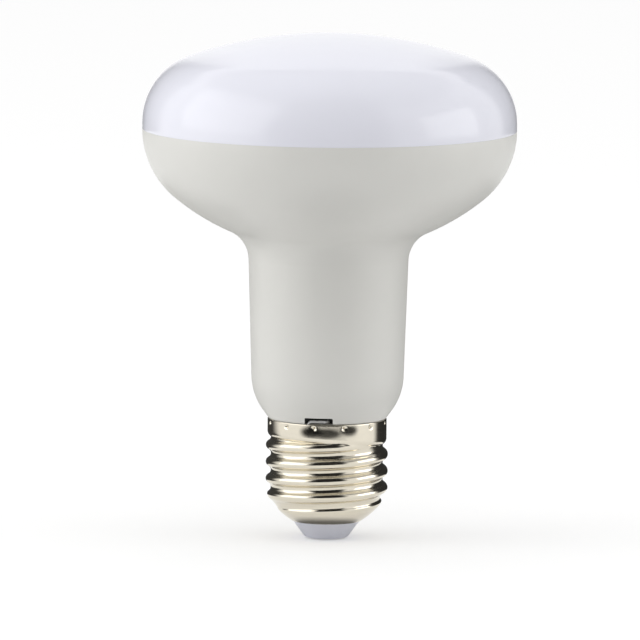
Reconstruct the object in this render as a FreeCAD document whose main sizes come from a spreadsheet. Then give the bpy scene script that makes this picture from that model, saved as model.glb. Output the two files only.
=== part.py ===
"""LED reflector lamp: domed cover, moulded bowl and neck, driver inside, screw cap below.

Millimetres. The origin is the tip of the centre contact, on the lamp's axis, and +Z points to the cover.
The front, at -Y, is the side with the wire notch above the cap.
"""
import FreeCAD, Part
import math
import operator
import os
from types import SimpleNamespace

import Sketcher

V = FreeCAD.Vector
LEFT = 1
RIGHT = -1

SIZES = {
    # housing: bowl, neck and foot
    "head_radius": 40.0,
    "seam_height": 88.0,
    "shoulder_radius": 18.8,
    "shoulder_angle": 50.8,
    "belly_radius": 51.0,
    "throat_radius": 7.1,
    "neck_draft": 1.8,
    "ankle_radius": 12.8,
    "foot_flare": 3.65,
    "foot_slope": 54.0,
    "foot_step": 0.1,
    "rim_height": 26.1,
    "housing_wall": 2.0,
    "mouth_wall": 2.3,
    "ledge_depth": 6.0,
    # spigot that carries the cap
    "spigot_wall": 1.63,
    "spigot_clearance": 0.2,
    "spigot_gap": 0.3,
    "seat_clearance": 0.1,
    "seat_rise": 2.4,
    "spigot_chamfer": 0.7,
    # cover
    "cover_band": 1.3,
    "cover_shoulder": 14.85,
    "cover_rise": 20.35,
    "cover_wall": 1.5,
    "skirt_wall": 1.3,
    "skirt_clearance": 0.1,
    "bead_height": 0.3,
    "bead_width": 1.2,
    "bead_depth": 2.5,
    # light unit
    "tray_sheet": 1.0,
    "tray_depth": 3.0,
    "tray_flange": 3.3,
    "tray_corner": 2.0,
    "led_board_margin": 1.4,
    "led_board_thickness": 1.0,
    "wire_hole_gap": 0.58,
    "led_length": 3.5,
    "led_width": 2.8,
    "led_height": 0.7,
    "led_window": 1.1,
    "window_depth": 0.15,
    "ring_margin": 5.0,
    "outer_count": 16,
    "ring_gap": 12.0,
    "inner_count": 8,
    "screw_count": 3,
    "screw_radius": 1.25,
    "screw_clearance": 0.1,
    "screw_length": 4.5,
    "screw_head": 2.3,
    "screw_head_height": 1.4,
    "screw_dome": 3.2,
    "drive_radius": 0.9,
    # driver board and its rails; from here to the board's parts, heights are above the board's seat
    "board_thickness": 1.6,
    "board_side_gap": 1.6,
    "board_rise": 33.5,
    "tongue_bottom": 13.0,
    "tongue_gap": 0.5,
    "seat_width": 1.6,
    "shoulder_step": 2.5,
    "board_taper": 3.5,
    "rail_root": 1.1,
    "rail_reach": 3.0,
    "rail_width": 1.2,
    "rail_clearance": 0.1,
    "rail_low": 6.0,
    "rail_length": 22.5,
    # transformer
    "core_width": 13.0,
    "core_height": 13.0,
    "core_depth": 6.0,
    "core_back": 2.6,
    "core_leg": 2.2,
    "core_middle": 3.4,
    "transformer_rise": 22.5,
    "bobbin_clearance": 0.1,
    "bobbin_wall": 0.5,
    "bobbin_flange": 0.6,
    "bobbin_width": 8.0,
    "bobbin_depth": 11.0,
    "winding_margin": 0.3,
    "winding_corner": 1.2,
    # cylinders on the board
    "can_radius": 4.0,
    "can_bead": 0.35,
    "can_rim": 0.6,
    "can_groove": 2.4,
    "input_can_x": 6.2,
    "input_can_low": 3.0,
    "input_can_length": 11.5,
    "output_can_x": 6.0,
    "output_can_low": 18.0,
    "output_can_length": 11.5,
    "choke_radius": 3.2,
    "choke_waist": 2.4,
    "choke_flange": 1.0,
    "choke_length": 8.0,
    "choke_x": 6.2,
    "choke_low": 4.5,
    "fuse_radius": 1.6,
    "fuse_neck": 1.3,
    "fuse_end": 1.5,
    "fuse_length": 9.0,
    "fuse_x": 8.0,
    "fuse_low": 3.5,
    # flat parts on the board
    "film_width": 5.0,
    "film_height": 9.0,
    "film_depth": 6.0,
    "film_x": 7.0,
    "film_rise": 8.0,
    "film_corner": 0.6,
    "varistor_radius": 3.5,
    "varistor_depth": 3.2,
    "varistor_x": 1.6,
    "varistor_rise": 8.0,
    "varistor_round": 1.0,
    "bridge_width": 4.7,
    "bridge_height": 3.9,
    "bridge_depth": 1.5,
    "bridge_gap": 3.35,
    "chip_width": 3.9,
    "chip_height": 4.9,
    "chip_depth": 1.5,
    "chip_x": 5.5,
    "chip_rise": 18.5,
    "diode_width": 2.6,
    "diode_height": 4.3,
    "diode_depth": 2.2,
    "diode_x": 5.5,
    "diode_rise": 26.5,
    "leg_pitch": 1.27,
    "leg_width": 0.5,
    "leg_reach": 0.9,
    "leg_thickness": 0.25,
    # screw shell
    "shell_sheet": 0.35,
    "crest_radius": 13.075,
    "thread_depth": 1.095,
    "thread_pitch": 3.629,
    "thread_flat": 0.9,
    "thread_gap": 0.4,
    "thread_angle": 180.0,
    "thread_beyond": 0.5,
    "runout_turn": 0.33,
    "hollow_stop": 0.79,
    "collar_step": 0.325,
    "collar_length": 3.65,
    "rim_gap": 0.15,
    "thread_top_chamfer": 0.35,
    "cone_step": 1.075,
    "cone_height": 8.0,
    "cone_shoulder": 1.5,
    "cone_angle": 42.5,
    "cone_width": 4.55,
    # stake dimples
    "dimple_count": 12,
    "dimple_angle": 17.0,
    "dimple_drop": 1.3,
    "dimple_radius": 0.5,
    "dimple_depth": 0.55,
    "dimple_clearance": 0.1,
    # insulator and centre contact
    "contact_radius": 2.5,
    "contact_proud": 0.25,
    "contact_edge": 0.15,
    "shank_radius": 1.1,
    "shank_top": 6.5,
    "shank_clearance": 0.05,
    "tip_radius": 4.0,
    "tip_corner": 1.2,
    "lip_step": 0.3,
    "insulator_floor": 2.4,
    "insulator_wall": 2.35,
    "insulator_flange": 1.85,
    "insulator_rise": 1.4,
    "lip_clearance": 0.1,
    # notch above the cap and the leads
    "notch_x": 1.8,
    "notch_width": 6.0,
    "notch_height": 1.35,
    "notch_depth": 1.5,
    "neutral_radius": 0.35,
    "neutral_clearance": 0.06,
    "neutral_lift": 0.02,
    "neutral_margin": 1.0,
    "neutral_run": 4.2,
    "neutral_length": 3.6,
    "neutral_bend": 0.8,
    "lead_radius": 0.6,
    "lead_bend": 1.6,
    "lead_x": 1.7,
    "lead_drop": 2.5,
    "lead_start": 0.1,
    "lead_pad_x": 7.4,
    "live_radius": 0.7,
    "live_bend": 1.5,
    "live_rise": 4.0,
    "live_start": 0.4,
}

OPERATIONS = {"+": operator.add, "-": operator.sub, "*": operator.mul, "/": operator.truediv}


class Size:
    """A number, and the expression that ties it to the sheet of sizes."""

    def __init__(self, value, text):
        self.value = value
        self.text = text

    def __add__(self, other):
        return combined(self, "+", other)

    def __radd__(self, other):
        return combined(other, "+", self)

    def __sub__(self, other):
        return combined(self, "-", other)

    def __rsub__(self, other):
        return combined(other, "-", self)

    def __mul__(self, other):
        return combined(self, "*", other)

    def __rmul__(self, other):
        return combined(other, "*", self)

    def __truediv__(self, other):
        return combined(self, "/", other)

    def __neg__(self):
        return combined(0, "-", self)


def as_size(number):
    """A plain number as a Size."""
    return number if isinstance(number, Size) else Size(number, str(number))


def combined(left, sign, right):
    """The sum, difference, product or ratio of two sizes."""
    left = as_size(left)
    right = as_size(right)
    value = OPERATIONS[sign](left.value, right.value)
    return Size(value, f"({left.text} {sign} {right.text})")


def sine(angle):
    return Size(math.sin(math.radians(angle.value)), f"sin({angle.text})")


def cosine(angle):
    return Size(math.cos(math.radians(angle.value)), f"cos({angle.text})")


def tangent(angle):
    return Size(math.tan(math.radians(angle.value)), f"tan({angle.text})")


def root(size):
    return Size(math.sqrt(size.value), f"sqrt({size.text})")


doc = FreeCAD.newDocument("reflector_lamp")
sheet = doc.addObject("Spreadsheet::Sheet", "Sizes")
for row, (name, number) in enumerate(SIZES.items(), start=1):
    sheet.set(f"A{row}", name)
    sheet.set(f"B{row}", str(number))
    sheet.setAlias(f"B{row}", name)
doc.recompute()
s = SimpleNamespace(**{name: Size(number, "Sizes." + name) for name, number in SIZES.items()})


def origin_item(body, role):
    """A plane or axis of the body's own origin."""
    return next(item for item in body.Origin.OriginFeatures if item.Role == role)


def new_body(label):
    body = doc.addObject("PartDesign::Body", label)
    body.Label = label
    return body


def sketch_on(body, name, role="XZ_Plane", offset=None, turn=None):
    """Sketch on an origin plane, moved along its normal or turned about its own upright axis."""
    sketch = body.newObject("Sketcher::SketchObject", name)
    sketch.AttachmentSupport = (origin_item(body, role), "")
    sketch.MapMode = "FlatFace"
    if turn is not None:
        upright = FreeCAD.Rotation(V(0, 1, 0), turn.value)
        sketch.AttachmentOffset = FreeCAD.Placement(V(), upright)
        sketch.setExpression("AttachmentOffset.Rotation.Angle", turn.text)
    if offset is not None:
        sketch.setExpression("AttachmentOffset.Base.z", offset.text)
    return sketch


def bind_constraint(sketch, size, *definition):
    """Add a dimension and tie it to the sheet."""
    index = sketch.addConstraint(Sketcher.Constraint(*definition, abs(size.value)
                                                     if definition[0] == "Radius" else size.value))
    sketch.setExpression(f"Constraints[{index}]", size.text)


def tie_point(sketch, geometry, position, x, y):
    """Hold a point of the sketch at x and y from the sketch's origin."""
    bind_constraint(sketch, as_size(x), "DistanceX", -1, 1, geometry, position)
    bind_constraint(sketch, as_size(y), "DistanceY", -1, 1, geometry, position)


def short_arc(start, end, radius, side):
    """Anticlockwise arc between two points; its centre is on the given side of the way between them."""
    chord = end - start
    height = math.sqrt(max(radius ** 2 - (chord.Length / 2) ** 2, 0))
    across = V(-chord.y, chord.x, 0).normalize() * side
    middle = (start + end) * 0.5 + across * (height - radius)
    return Part.Arc(start, middle, end) if side == LEFT else Part.Arc(end, middle, start)


def outline(sketch, corners):
    """Closed outline through corners (x, y).

    A corner with two more entries, a radius and a side, starts an arc whose centre is on that side.
    """
    spots = [V(as_size(corner[0]).value, as_size(corner[1]).value, 0) for corner in corners]
    ends = []
    for index, corner in enumerate(corners):
        start = spots[index]
        end = spots[(index + 1) % len(spots)]
        if len(corner) == 2:
            number = sketch.addGeometry(Part.LineSegment(start, end))
            ends.append((number, 1, 2))
            continue
        radius, side = corner[2], corner[3]
        number = sketch.addGeometry(short_arc(start, end, radius.value, side))
        ends.append((number, 1, 2) if side == LEFT else (number, 2, 1))
        bind_constraint(sketch, radius, "Radius", number)
    for index, corner in enumerate(corners):
        number, first, last = ends[index]
        following, next_first, _ = ends[(index + 1) % len(ends)]
        sketch.addConstraint(Sketcher.Constraint("Coincident", number, last, following, next_first))
        tie_point(sketch, number, first, corner[0], corner[1])


def rectangle(sketch, x_low, x_high, y_low, y_high):
    outline(sketch, [(x_low, y_low), (x_high, y_low), (x_high, y_high), (x_low, y_high)])


def circle(sketch, x, y, radius):
    centre = V(as_size(x).value, as_size(y).value, 0)
    number = sketch.addGeometry(Part.Circle(centre, V(0, 0, 1), radius.value))
    bind_constraint(sketch, radius, "Radius", number)
    tie_point(sketch, number, 3, x, y)


def finish_feature(body, feature, before, cut):
    """Recompute, make the feature the body's tip, and make sure that a cut has cut."""
    body.Tip = feature
    doc.recompute()
    if cut and not feature.Shape.Volume < before:
        raise RuntimeError(f"{feature.Name} cuts nothing")
    return feature


def volume_of(body):
    return body.Shape.Volume if not body.Shape.isNull() else 0.0


def revolve(body, name, sketch, cut=False, axis="V_Axis"):
    before = volume_of(body)
    feature = body.newObject("PartDesign::Groove" if cut else "PartDesign::Revolution", name)
    feature.Profile = sketch
    feature.ReferenceAxis = (sketch, [axis])
    feature.Angle = 360
    return finish_feature(body, feature, before, cut)


def extrude(body, name, sketch, length, cut=False, backwards=False):
    """Pad or pocket along the sketch's normal; a pocket goes against it unless it is backwards."""
    before = volume_of(body)
    feature = body.newObject("PartDesign::Pocket" if cut else "PartDesign::Pad", name)
    feature.Profile = sketch
    feature.Type = 0
    feature.Reversed = backwards
    feature.setExpression("Length", as_size(length).text)
    return finish_feature(body, feature, before, cut)


def repeat_around(body, name, features, count, cut=False):
    """Copies of some features, evenly spaced about the lamp's axis."""
    before = volume_of(body)
    pattern = body.newObject("PartDesign::PolarPattern", name)
    pattern.Originals = features
    pattern.Axis = (origin_item(body, "Z_Axis"), [""])
    pattern.Angle = 360
    pattern.setExpression("Occurrences", count.text)
    return finish_feature(body, pattern, before, cut)


def screw_cut(body, name, sketch, height, downwards, cone=None):
    """Right-handed helical groove; a cone angle lets it climb out of the wall."""
    before = volume_of(body)
    helix = body.newObject("PartDesign::SubtractiveHelix", name)
    helix.Profile = sketch
    helix.ReferenceAxis = (sketch, ["V_Axis"])
    helix.Mode = 0
    helix.setExpression("Pitch", s.thread_pitch.text)
    helix.setExpression("Height", height.text)
    if cone is not None:
        helix.setExpression("Angle", cone.text)
    helix.LeftHanded = False
    helix.Reversed = downwards
    helix.HasBeenEdited = True
    return finish_feature(body, helix, before, True)


# screw shell and insulator, from the crest of the thread
collar_radius = s.crest_radius - s.collar_step
collar_inner = collar_radius - s.shell_sheet
collar_top = s.rim_height - s.rim_gap
collar_bottom = collar_top - s.collar_length
dimple_height = collar_top - s.dimple_drop
thread_root = s.crest_radius - s.thread_depth
shell_inner = thread_root - s.shell_sheet
thread_start = collar_bottom - s.thread_gap
thread_low = s.cone_height + s.cone_shoulder
thread_drop = thread_start - s.cone_height + s.thread_beyond
hollow_drop = thread_start - s.thread_pitch / 2 - thread_low - s.hollow_stop
cone_radius = s.crest_radius - s.cone_step
cone_lift = s.shell_sheet / cosine(s.cone_angle)
lip_radius = cone_radius - s.cone_width
lip_low = s.cone_height - s.cone_width * tangent(s.cone_angle)
# housing, from the collar and the seam
foot_radius = collar_radius - s.foot_step
neck_radius = foot_radius + s.foot_flare
spigot_radius = shell_inner - s.spigot_clearance
spigot_bore = spigot_radius - s.spigot_wall
seat_radius = collar_inner - s.seat_clearance
board_seat = s.rim_height + s.seat_rise
rail_outer = neck_radius - s.rail_root
mouth_radius = s.head_radius - s.mouth_wall
ledge_height = s.seam_height - s.ledge_depth
skirt_radius = mouth_radius - s.skirt_clearance
bead_middle = s.seam_height - s.bead_depth
# tray, LED board and its rings, from the mouth
tray_radius = mouth_radius - s.tray_flange
tray_floor = ledge_height - s.tray_depth
led_board_radius = tray_radius - s.tray_corner - s.led_board_margin
led_board_top = tray_floor + s.led_board_thickness
outer_ring = led_board_radius - s.ring_margin
inner_ring = outer_ring - s.ring_gap
screw_ring = (inner_ring + outer_ring) / 2
# driver board and wires
board_face = s.board_thickness / 2
board_top = board_seat + s.board_rise
live_high = s.tongue_bottom + s.live_rise
lead_y = board_face + s.lead_bend + s.lead_start
wire_hole = root(s.lead_x * s.lead_x + lead_y * lead_y) + s.lead_radius + s.wire_hole_gap
neutral_height = s.rim_height + s.neutral_radius + s.neutral_lift
neutral_x = s.notch_width / 2 - s.notch_x - s.neutral_margin
fold_x = neutral_x - s.neutral_run
neutral_hole = s.neutral_radius + s.neutral_clearance
notch_floor = collar_inner - s.notch_depth


def lamp_outline(sketch, inset):
    """Half outline of the housing from its rim to the seam, moved inwards by the inset.

    All its arcs are tangent to their neighbours.
    """
    sides = {"foot": foot_radius - inset / sine(s.foot_slope),
             "neck": neck_radius - inset * cosine(s.neck_draft),
             "head": s.head_radius - inset}
    radii = {"ankle": s.ankle_radius - inset, "throat": s.throat_radius + inset,
             "belly": s.belly_radius - inset, "shoulder": s.shoulder_radius - inset}
    belly_height = s.seam_height - radii["shoulder"] * sine(s.shoulder_angle)
    spots = lamp_spots({key: size.value for key, size in (sides | radii).items()})

    def line(start, end):
        return sketch.addGeometry(Part.LineSegment(spots[start], spots[end]))

    def arc(start, end, radius, side):
        return sketch.addGeometry(short_arc(spots[start], spots[end], radii[radius].value, side))

    base = line("rim_axis", "rim")
    foot = line("rim", "foot_end")
    ankle = arc("foot_end", "neck_low", "ankle", LEFT)
    neck = line("neck_low", "neck_high")
    throat = arc("neck_high", "belly_low", "throat", RIGHT)
    belly = arc("belly_low", "belly_top", "belly", LEFT)
    shoulder = arc("belly_top", "mouth", "shoulder", LEFT)
    top = line("mouth", "mouth_axis")
    axis = line("mouth_axis", "rim_axis")
    joints = [("Coincident", base, 2, foot, 1), ("Tangent", foot, 2, ankle, 1),
              ("Tangent", ankle, 2, neck, 1), ("Tangent", neck, 2, throat, 2),
              ("Tangent", throat, 1, belly, 1), ("Tangent", belly, 2, shoulder, 1),
              ("Coincident", shoulder, 2, top, 1), ("Coincident", top, 2, axis, 1),
              ("Coincident", axis, 2, base, 1), ("Horizontal", base), ("Horizontal", top),
              ("PointOnObject", axis, 1, -2), ("PointOnObject", axis, 2, -2)]
    for joint in joints:
        sketch.addConstraint(Sketcher.Constraint(*joint))
    tie_point(sketch, foot, 1, sides["foot"], s.rim_height)
    tie_point(sketch, top, 1, sides["head"], s.seam_height)
    bind_constraint(sketch, sides["neck"], "DistanceX", -1, 1, neck, 1)
    bind_constraint(sketch, s.seam_height, "DistanceY", -1, 1, shoulder, 3)
    bind_constraint(sketch, belly_height, "DistanceY", -1, 1, belly, 2)
    for number, key in {ankle: "ankle", throat: "throat", belly: "belly", shoulder: "shoulder"}.items():
        bind_constraint(sketch, radii[key], "Radius", number)
    for number, angle in {foot: s.foot_slope, neck: 90 - s.neck_draft}.items():
        index = sketch.addConstraint(Sketcher.Constraint("Angle", number, math.radians(angle.value)))
        sketch.setExpression(f"Constraints[{index}]", angle.text)


def lamp_spots(reach):
    """Corners of the housing's half outline, from its radii and the angles of its foot and neck."""
    draft = math.radians(s.neck_draft.value)
    slope = math.radians(90 - s.foot_slope.value)
    turn = math.radians(s.shoulder_angle.value)
    out_neck = V(math.cos(draft), -math.sin(draft), 0)
    up_neck = V(math.sin(draft), math.cos(draft), 0)
    out_foot = V(math.cos(slope), -math.sin(slope), 0)
    up_foot = V(math.sin(slope), math.cos(slope), 0)
    out_belly = V(math.cos(turn), -math.sin(turn), 0)

    rim = V(reach["foot"], s.rim_height.value, 0)
    ankle_x = reach["neck"] - reach["ankle"] * out_neck.x
    run = (ankle_x + reach["ankle"] * out_foot.x - rim.x) / up_foot.x
    foot_end = rim + up_foot * run
    neck_low = foot_end + (out_neck - out_foot) * reach["ankle"]
    mouth = V(reach["head"], s.seam_height.value, 0)
    belly_top = mouth - V(reach["shoulder"], 0, 0) + out_belly * reach["shoulder"]
    belly_centre = belly_top - out_belly * reach["belly"]
    span = reach["belly"] + reach["throat"]
    offset = (neck_low - belly_centre).dot(out_neck) + reach["throat"]
    fall = math.sqrt(span ** 2 - offset ** 2)
    throat_centre = belly_centre + out_neck * offset - up_neck * fall
    return {"rim_axis": V(0, rim.y, 0), "rim": rim, "foot_end": foot_end, "neck_low": neck_low,
            "neck_high": throat_centre - out_neck * reach["throat"],
            "belly_low": belly_centre + (throat_centre - belly_centre) * (reach["belly"] / span),
            "belly_top": belly_top, "mouth": mouth, "mouth_axis": V(0, mouth.y, 0)}


def cone_outline(sketch, tip, base, height, radius):
    """Right triangle that turns about the sketch's level construction line into a radial cone."""
    outline(sketch, [(tip, height), (base, height), (base, height + radius)])
    line = Part.LineSegment(V(tip.value, height.value, 0), V(base.value, height.value, 0))
    number = sketch.addGeometry(line, True)
    tie_point(sketch, number, 1, tip, height)
    tie_point(sketch, number, 2, base, height)


def make_housing():
    """Bowl, neck and foot in one moulding, with the spigot that the cap is staked to."""
    body = new_body("housing")
    form = sketch_on(body, "lamp_outline")
    lamp_outline(form, as_size(0))
    revolve(body, "lamp_form", form)
    hollow = sketch_on(body, "hollow_outline")
    lamp_outline(hollow, s.housing_wall)
    revolve(body, "hollow", hollow, cut=True)

    spigot = sketch_on(body, "spigot_outline")
    spigot_bottom = thread_low + s.spigot_gap
    outline(spigot, [(spigot_bore, spigot_bottom), (spigot_radius, spigot_bottom),
                     (spigot_radius, collar_bottom - s.spigot_chamfer), (seat_radius, collar_bottom),
                     (seat_radius, s.rim_height), (foot_radius, board_seat),
                     (spigot_bore, board_seat)])
    revolve(body, "spigot", spigot)

    mouth = sketch_on(body, "mouth_outline")
    outline(mouth, [(0, ledge_height), (mouth_radius, ledge_height),
                    (mouth_radius, bead_middle - s.bead_width / 2),
                    (mouth_radius + s.bead_height, bead_middle),
                    (mouth_radius, bead_middle + s.bead_width / 2),
                    (mouth_radius, s.seam_height), (0, s.seam_height)])
    revolve(body, "mouth", mouth, cut=True)

    rails = sketch_on(body, "rail_outline", "XY_Plane", board_seat + s.rail_low)
    near = board_face + s.rail_clearance
    far = near + s.rail_width
    rail_inner = rail_outer - s.rail_reach
    for x_low, x_high in ((rail_inner, rail_outer), (-rail_outer, -rail_inner)):
        rectangle(rails, x_low, x_high, near, far)
        rectangle(rails, x_low, x_high, -far, -near)
    extrude(body, "board_rails", rails, s.rail_length)
    cut_notch(body)

    stake = sketch_on(body, "stake_recess", turn=s.dimple_angle)
    deep = collar_inner - s.dimple_depth - s.dimple_clearance
    cone_outline(stake, deep, collar_radius, dimple_height,
                 s.dimple_radius + s.shell_sheet + 2 * s.dimple_clearance)
    recess = revolve(body, "stake_recess_cut", stake, cut=True, axis="Axis0")
    repeat_around(body, "stake_recesses", [recess], s.dimple_count, cut=True)
    return body


def cut_notch(body):
    """Notch above the cap's rim, with the hole and the groove of the neutral wire."""
    notch = sketch_on(body, "notch_outline", "XY_Plane", s.rim_height)
    rectangle(notch, -s.notch_x - s.notch_width / 2, -s.notch_x + s.notch_width / 2,
              -neck_radius, -notch_floor)
    extrude(body, "notch", notch, s.notch_height, cut=True, backwards=True)
    hole = sketch_on(body, "wire_hole_outline")
    circle(hole, neutral_x, neutral_height, neutral_hole)
    extrude(body, "neutral_hole", hole, collar_radius, cut=True, backwards=True)
    groove = sketch_on(body, "wire_groove_outline", "XY_Plane", s.rim_height)
    side = neutral_hole + s.neutral_clearance
    rectangle(groove, fold_x - side, fold_x + s.neutral_bend, -collar_radius, -notch_floor)
    depth = s.rim_height - collar_bottom + s.spigot_chamfer / 2
    extrude(body, "neutral_groove", groove, depth, cut=True)


def make_cover():
    """Domed cover: a short band, a shoulder arc and the dome, with a skirt that snaps into the mouth."""
    body = new_body("cover")
    sketch = sketch_on(body, "cover_outline")
    band_top = s.seam_height + s.cover_band
    cover_height = s.seam_height + s.cover_rise
    rise = s.cover_rise - s.cover_band
    reach = s.head_radius - s.cover_shoulder
    dome = (reach * reach + rise * rise - s.cover_shoulder * s.cover_shoulder) / (
        2 * (rise - s.cover_shoulder))
    dome_centre = cover_height - dome
    share = dome / (dome - s.cover_shoulder)
    inner_dome = dome - s.cover_wall
    inner_shoulder = s.cover_shoulder - s.cover_wall
    inner_share = inner_dome / (dome - s.cover_shoulder)
    end = ledge_height + s.tray_sheet
    inner = skirt_radius - s.skirt_wall
    outline(sketch, [(inner, end), (skirt_radius, end),
                     (skirt_radius, bead_middle - s.bead_width / 2),
                     (skirt_radius + s.bead_height, bead_middle),
                     (skirt_radius, bead_middle + s.bead_width / 2),
                     (skirt_radius, s.seam_height), (s.head_radius, s.seam_height),
                     (s.head_radius, band_top, s.cover_shoulder, LEFT),
                     (reach * share, dome_centre + (band_top - dome_centre) * share, dome, LEFT),
                     (0, cover_height),
                     (0, cover_height - s.cover_wall, inner_dome, RIGHT),
                     (reach * inner_share, dome_centre + (band_top - dome_centre) * inner_share,
                      inner_shoulder, RIGHT),
                     (s.head_radius - s.cover_wall, band_top), (inner, band_top)])
    revolve(body, "cover_form", sketch)
    return body


def make_heat_sink():
    """Drawn aluminium tray: its flange lies on the housing's ledge, its floor carries the LED board."""
    body = new_body("heat_sink")
    sketch = sketch_on(body, "tray_outline")
    low = tray_floor - s.tray_sheet
    flange = skirt_radius - s.skirt_clearance
    inner = tray_radius - s.tray_sheet
    corner_in = s.tray_corner - s.tray_sheet
    outline(sketch, [(wire_hole, low), (tray_radius - s.tray_corner, low, s.tray_corner, LEFT),
                     (tray_radius, low + s.tray_corner), (tray_radius, ledge_height),
                     (flange, ledge_height), (flange, ledge_height + s.tray_sheet),
                     (inner, ledge_height + s.tray_sheet),
                     (inner, low + s.tray_corner, corner_in, RIGHT),
                     (inner - corner_in, tray_floor), (wire_hole, tray_floor)])
    revolve(body, "tray", sketch)
    holes = sketch_on(body, "tray_hole", "XY_Plane", tray_floor)
    circle(holes, screw_ring, 0, s.screw_radius + s.screw_clearance / 2)
    hole = extrude(body, "tray_screw_hole", holes, s.tray_sheet, cut=True)
    repeat_around(body, "tray_screw_holes", [hole], s.screw_count, cut=True)
    return body


def make_led_board():
    """Round aluminium-core board."""
    body = new_body("led_board")
    sketch = sketch_on(body, "board_outline", "XY_Plane", tray_floor)
    circle(sketch, 0, 0, led_board_radius)
    circle(sketch, 0, 0, wire_hole)
    extrude(body, "board", sketch, s.led_board_thickness)
    holes = sketch_on(body, "board_hole", "XY_Plane", led_board_top)
    circle(holes, screw_ring, 0, s.screw_radius + s.screw_clearance)
    hole = extrude(body, "board_screw_hole", holes, s.led_board_thickness, cut=True)
    repeat_around(body, "board_screw_holes", [hole], s.screw_count, cut=True)
    return body


def make_leds():
    """Two rings of packages, each with a shallow round window."""
    body = new_body("leds")
    for ring, radius, count in (("inner", inner_ring, s.inner_count),
                                ("outer", outer_ring, s.outer_count)):
        sketch = sketch_on(body, ring + "_led", "XY_Plane", led_board_top)
        rectangle(sketch, radius - s.led_width / 2, radius + s.led_width / 2,
                  -s.led_length / 2, s.led_length / 2)
        block = extrude(body, ring + "_package", sketch, s.led_height)
        window = sketch_on(body, ring + "_window", "XY_Plane", led_board_top + s.led_height)
        circle(window, radius, 0, s.led_window)
        recess = extrude(body, ring + "_recess", window, s.window_depth, cut=True)
        repeat_around(body, ring + "_packages", [block, recess], count)
    return body


def make_board_screws():
    """Pan-head screws through the LED board into the tray."""
    body = new_body("board_screws")
    sketch = sketch_on(body, "screw_outline")
    top = led_board_top + s.screw_head_height
    low = led_board_top - s.screw_length
    axis_x = screw_ring
    point = low + s.screw_radius / 2
    drive = s.screw_head_height / 2
    outline(sketch, [(axis_x, low), (axis_x + s.screw_radius / 2, low),
                     (axis_x + s.screw_radius, point), (axis_x + s.screw_radius, led_board_top),
                     (axis_x + s.screw_head, led_board_top),
                     (axis_x + s.screw_head, led_board_top + drive, s.screw_dome, LEFT),
                     (axis_x + s.drive_radius, top), (axis_x, top - drive)])
    line = Part.LineSegment(V(axis_x.value, low.value, 0), V(axis_x.value, top.value, 0))
    number = sketch.addGeometry(line, True)
    tie_point(sketch, number, 1, axis_x, low)
    tie_point(sketch, number, 2, axis_x, top)
    screw = revolve(body, "board_screw", sketch, axis="Axis0")
    repeat_around(body, "board_screw_ring", [screw], s.screw_count)
    return body


def make_driver_board():
    """Upright circuit board: wide in the neck, shoulders on the spigot's seat, tongue in the bore."""
    body = new_body("driver_board")
    sketch = sketch_on(body, "driver_outline", offset=board_face)
    seat_top = board_seat + s.shoulder_step
    tongue = spigot_bore - s.tongue_gap
    shoulder = spigot_bore + s.seat_width
    side = rail_outer - s.board_side_gap
    half = [(tongue, s.tongue_bottom), (tongue, board_seat), (shoulder, board_seat),
            (shoulder, seat_top), (side, seat_top + s.board_taper), (side, board_top)]
    outline(sketch, half + [(-x, z) for x, z in reversed(half)])
    extrude(body, "driver_plate", sketch, s.board_thickness, backwards=True)
    return body


def board_block(label, x, z, width, height, depth, front):
    """Block that stands on one face of the driver board."""
    body = new_body(label)
    face = board_face if front else -board_face
    sketch = sketch_on(body, label + "_outline", offset=face)
    rectangle(sketch, x - width / 2, x + width / 2, z - height / 2, z + height / 2)
    extrude(body, label + "_block", sketch, depth, backwards=not front)
    return body


def add_legs(body, x, z, offsets, reach, upright=False):
    """Flat legs that come out on both sides of a package on the back of the board."""
    sketch = sketch_on(body, body.Label + "_legs", offset=-board_face)
    half = s.leg_width / 2
    for offset in offsets:
        if upright:
            rectangle(sketch, x + offset - half, x + offset + half, z - reach, z + reach)
        else:
            rectangle(sketch, x - reach, x + reach, z + offset - half, z + offset + half)
    extrude(body, body.Label + "_leg_strips", sketch, s.leg_thickness, backwards=True)


def make_bridge_rectifier():
    z = live_high + s.live_radius + s.bridge_gap + s.bridge_height / 2
    body = board_block("bridge_rectifier", as_size(0), z, s.bridge_width, s.bridge_height,
                       s.bridge_depth, False)
    add_legs(body, as_size(0), z, (-s.leg_pitch, s.leg_pitch),
             s.bridge_width / 2 + s.leg_reach)
    return body


def make_driver_chip():
    z = board_seat + s.chip_rise
    body = board_block("driver_chip", s.chip_x, z, s.chip_width, s.chip_height, s.chip_depth, False)
    offsets = [s.leg_pitch * step for step in (-1.5, -0.5, 0.5, 1.5)]
    add_legs(body, s.chip_x, z, offsets, s.chip_width / 2 + s.leg_reach)
    return body


def make_output_diode():
    z = board_seat + s.diode_rise
    body = board_block("output_diode", s.diode_x, z, s.diode_width, s.diode_height, s.diode_depth,
                       False)
    add_legs(body, s.diode_x, z, [as_size(0)], s.diode_height / 2 + s.leg_reach, upright=True)
    return body


def round_edges(body, name, radius, wanted):
    """Fillet the edges of the body's tip that the test accepts."""
    base = body.Tip
    names = [f"Edge{number}" for number, edge in enumerate(base.Shape.Edges, start=1) if wanted(edge)]
    fillet = body.newObject("PartDesign::Fillet", name)
    fillet.Base = (base, names)
    fillet.setExpression("Radius", radius.text)
    return finish_feature(body, fillet, base.Shape.Volume, False)


def make_film_capacitor():
    body = board_block("film_capacitor", -s.film_x, board_seat + s.film_rise, s.film_width,
                       s.film_height, s.film_depth, True)
    round_edges(body, "film_corners", s.film_corner, lambda edge: edge.BoundBox.YLength > 1)
    return body


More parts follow.
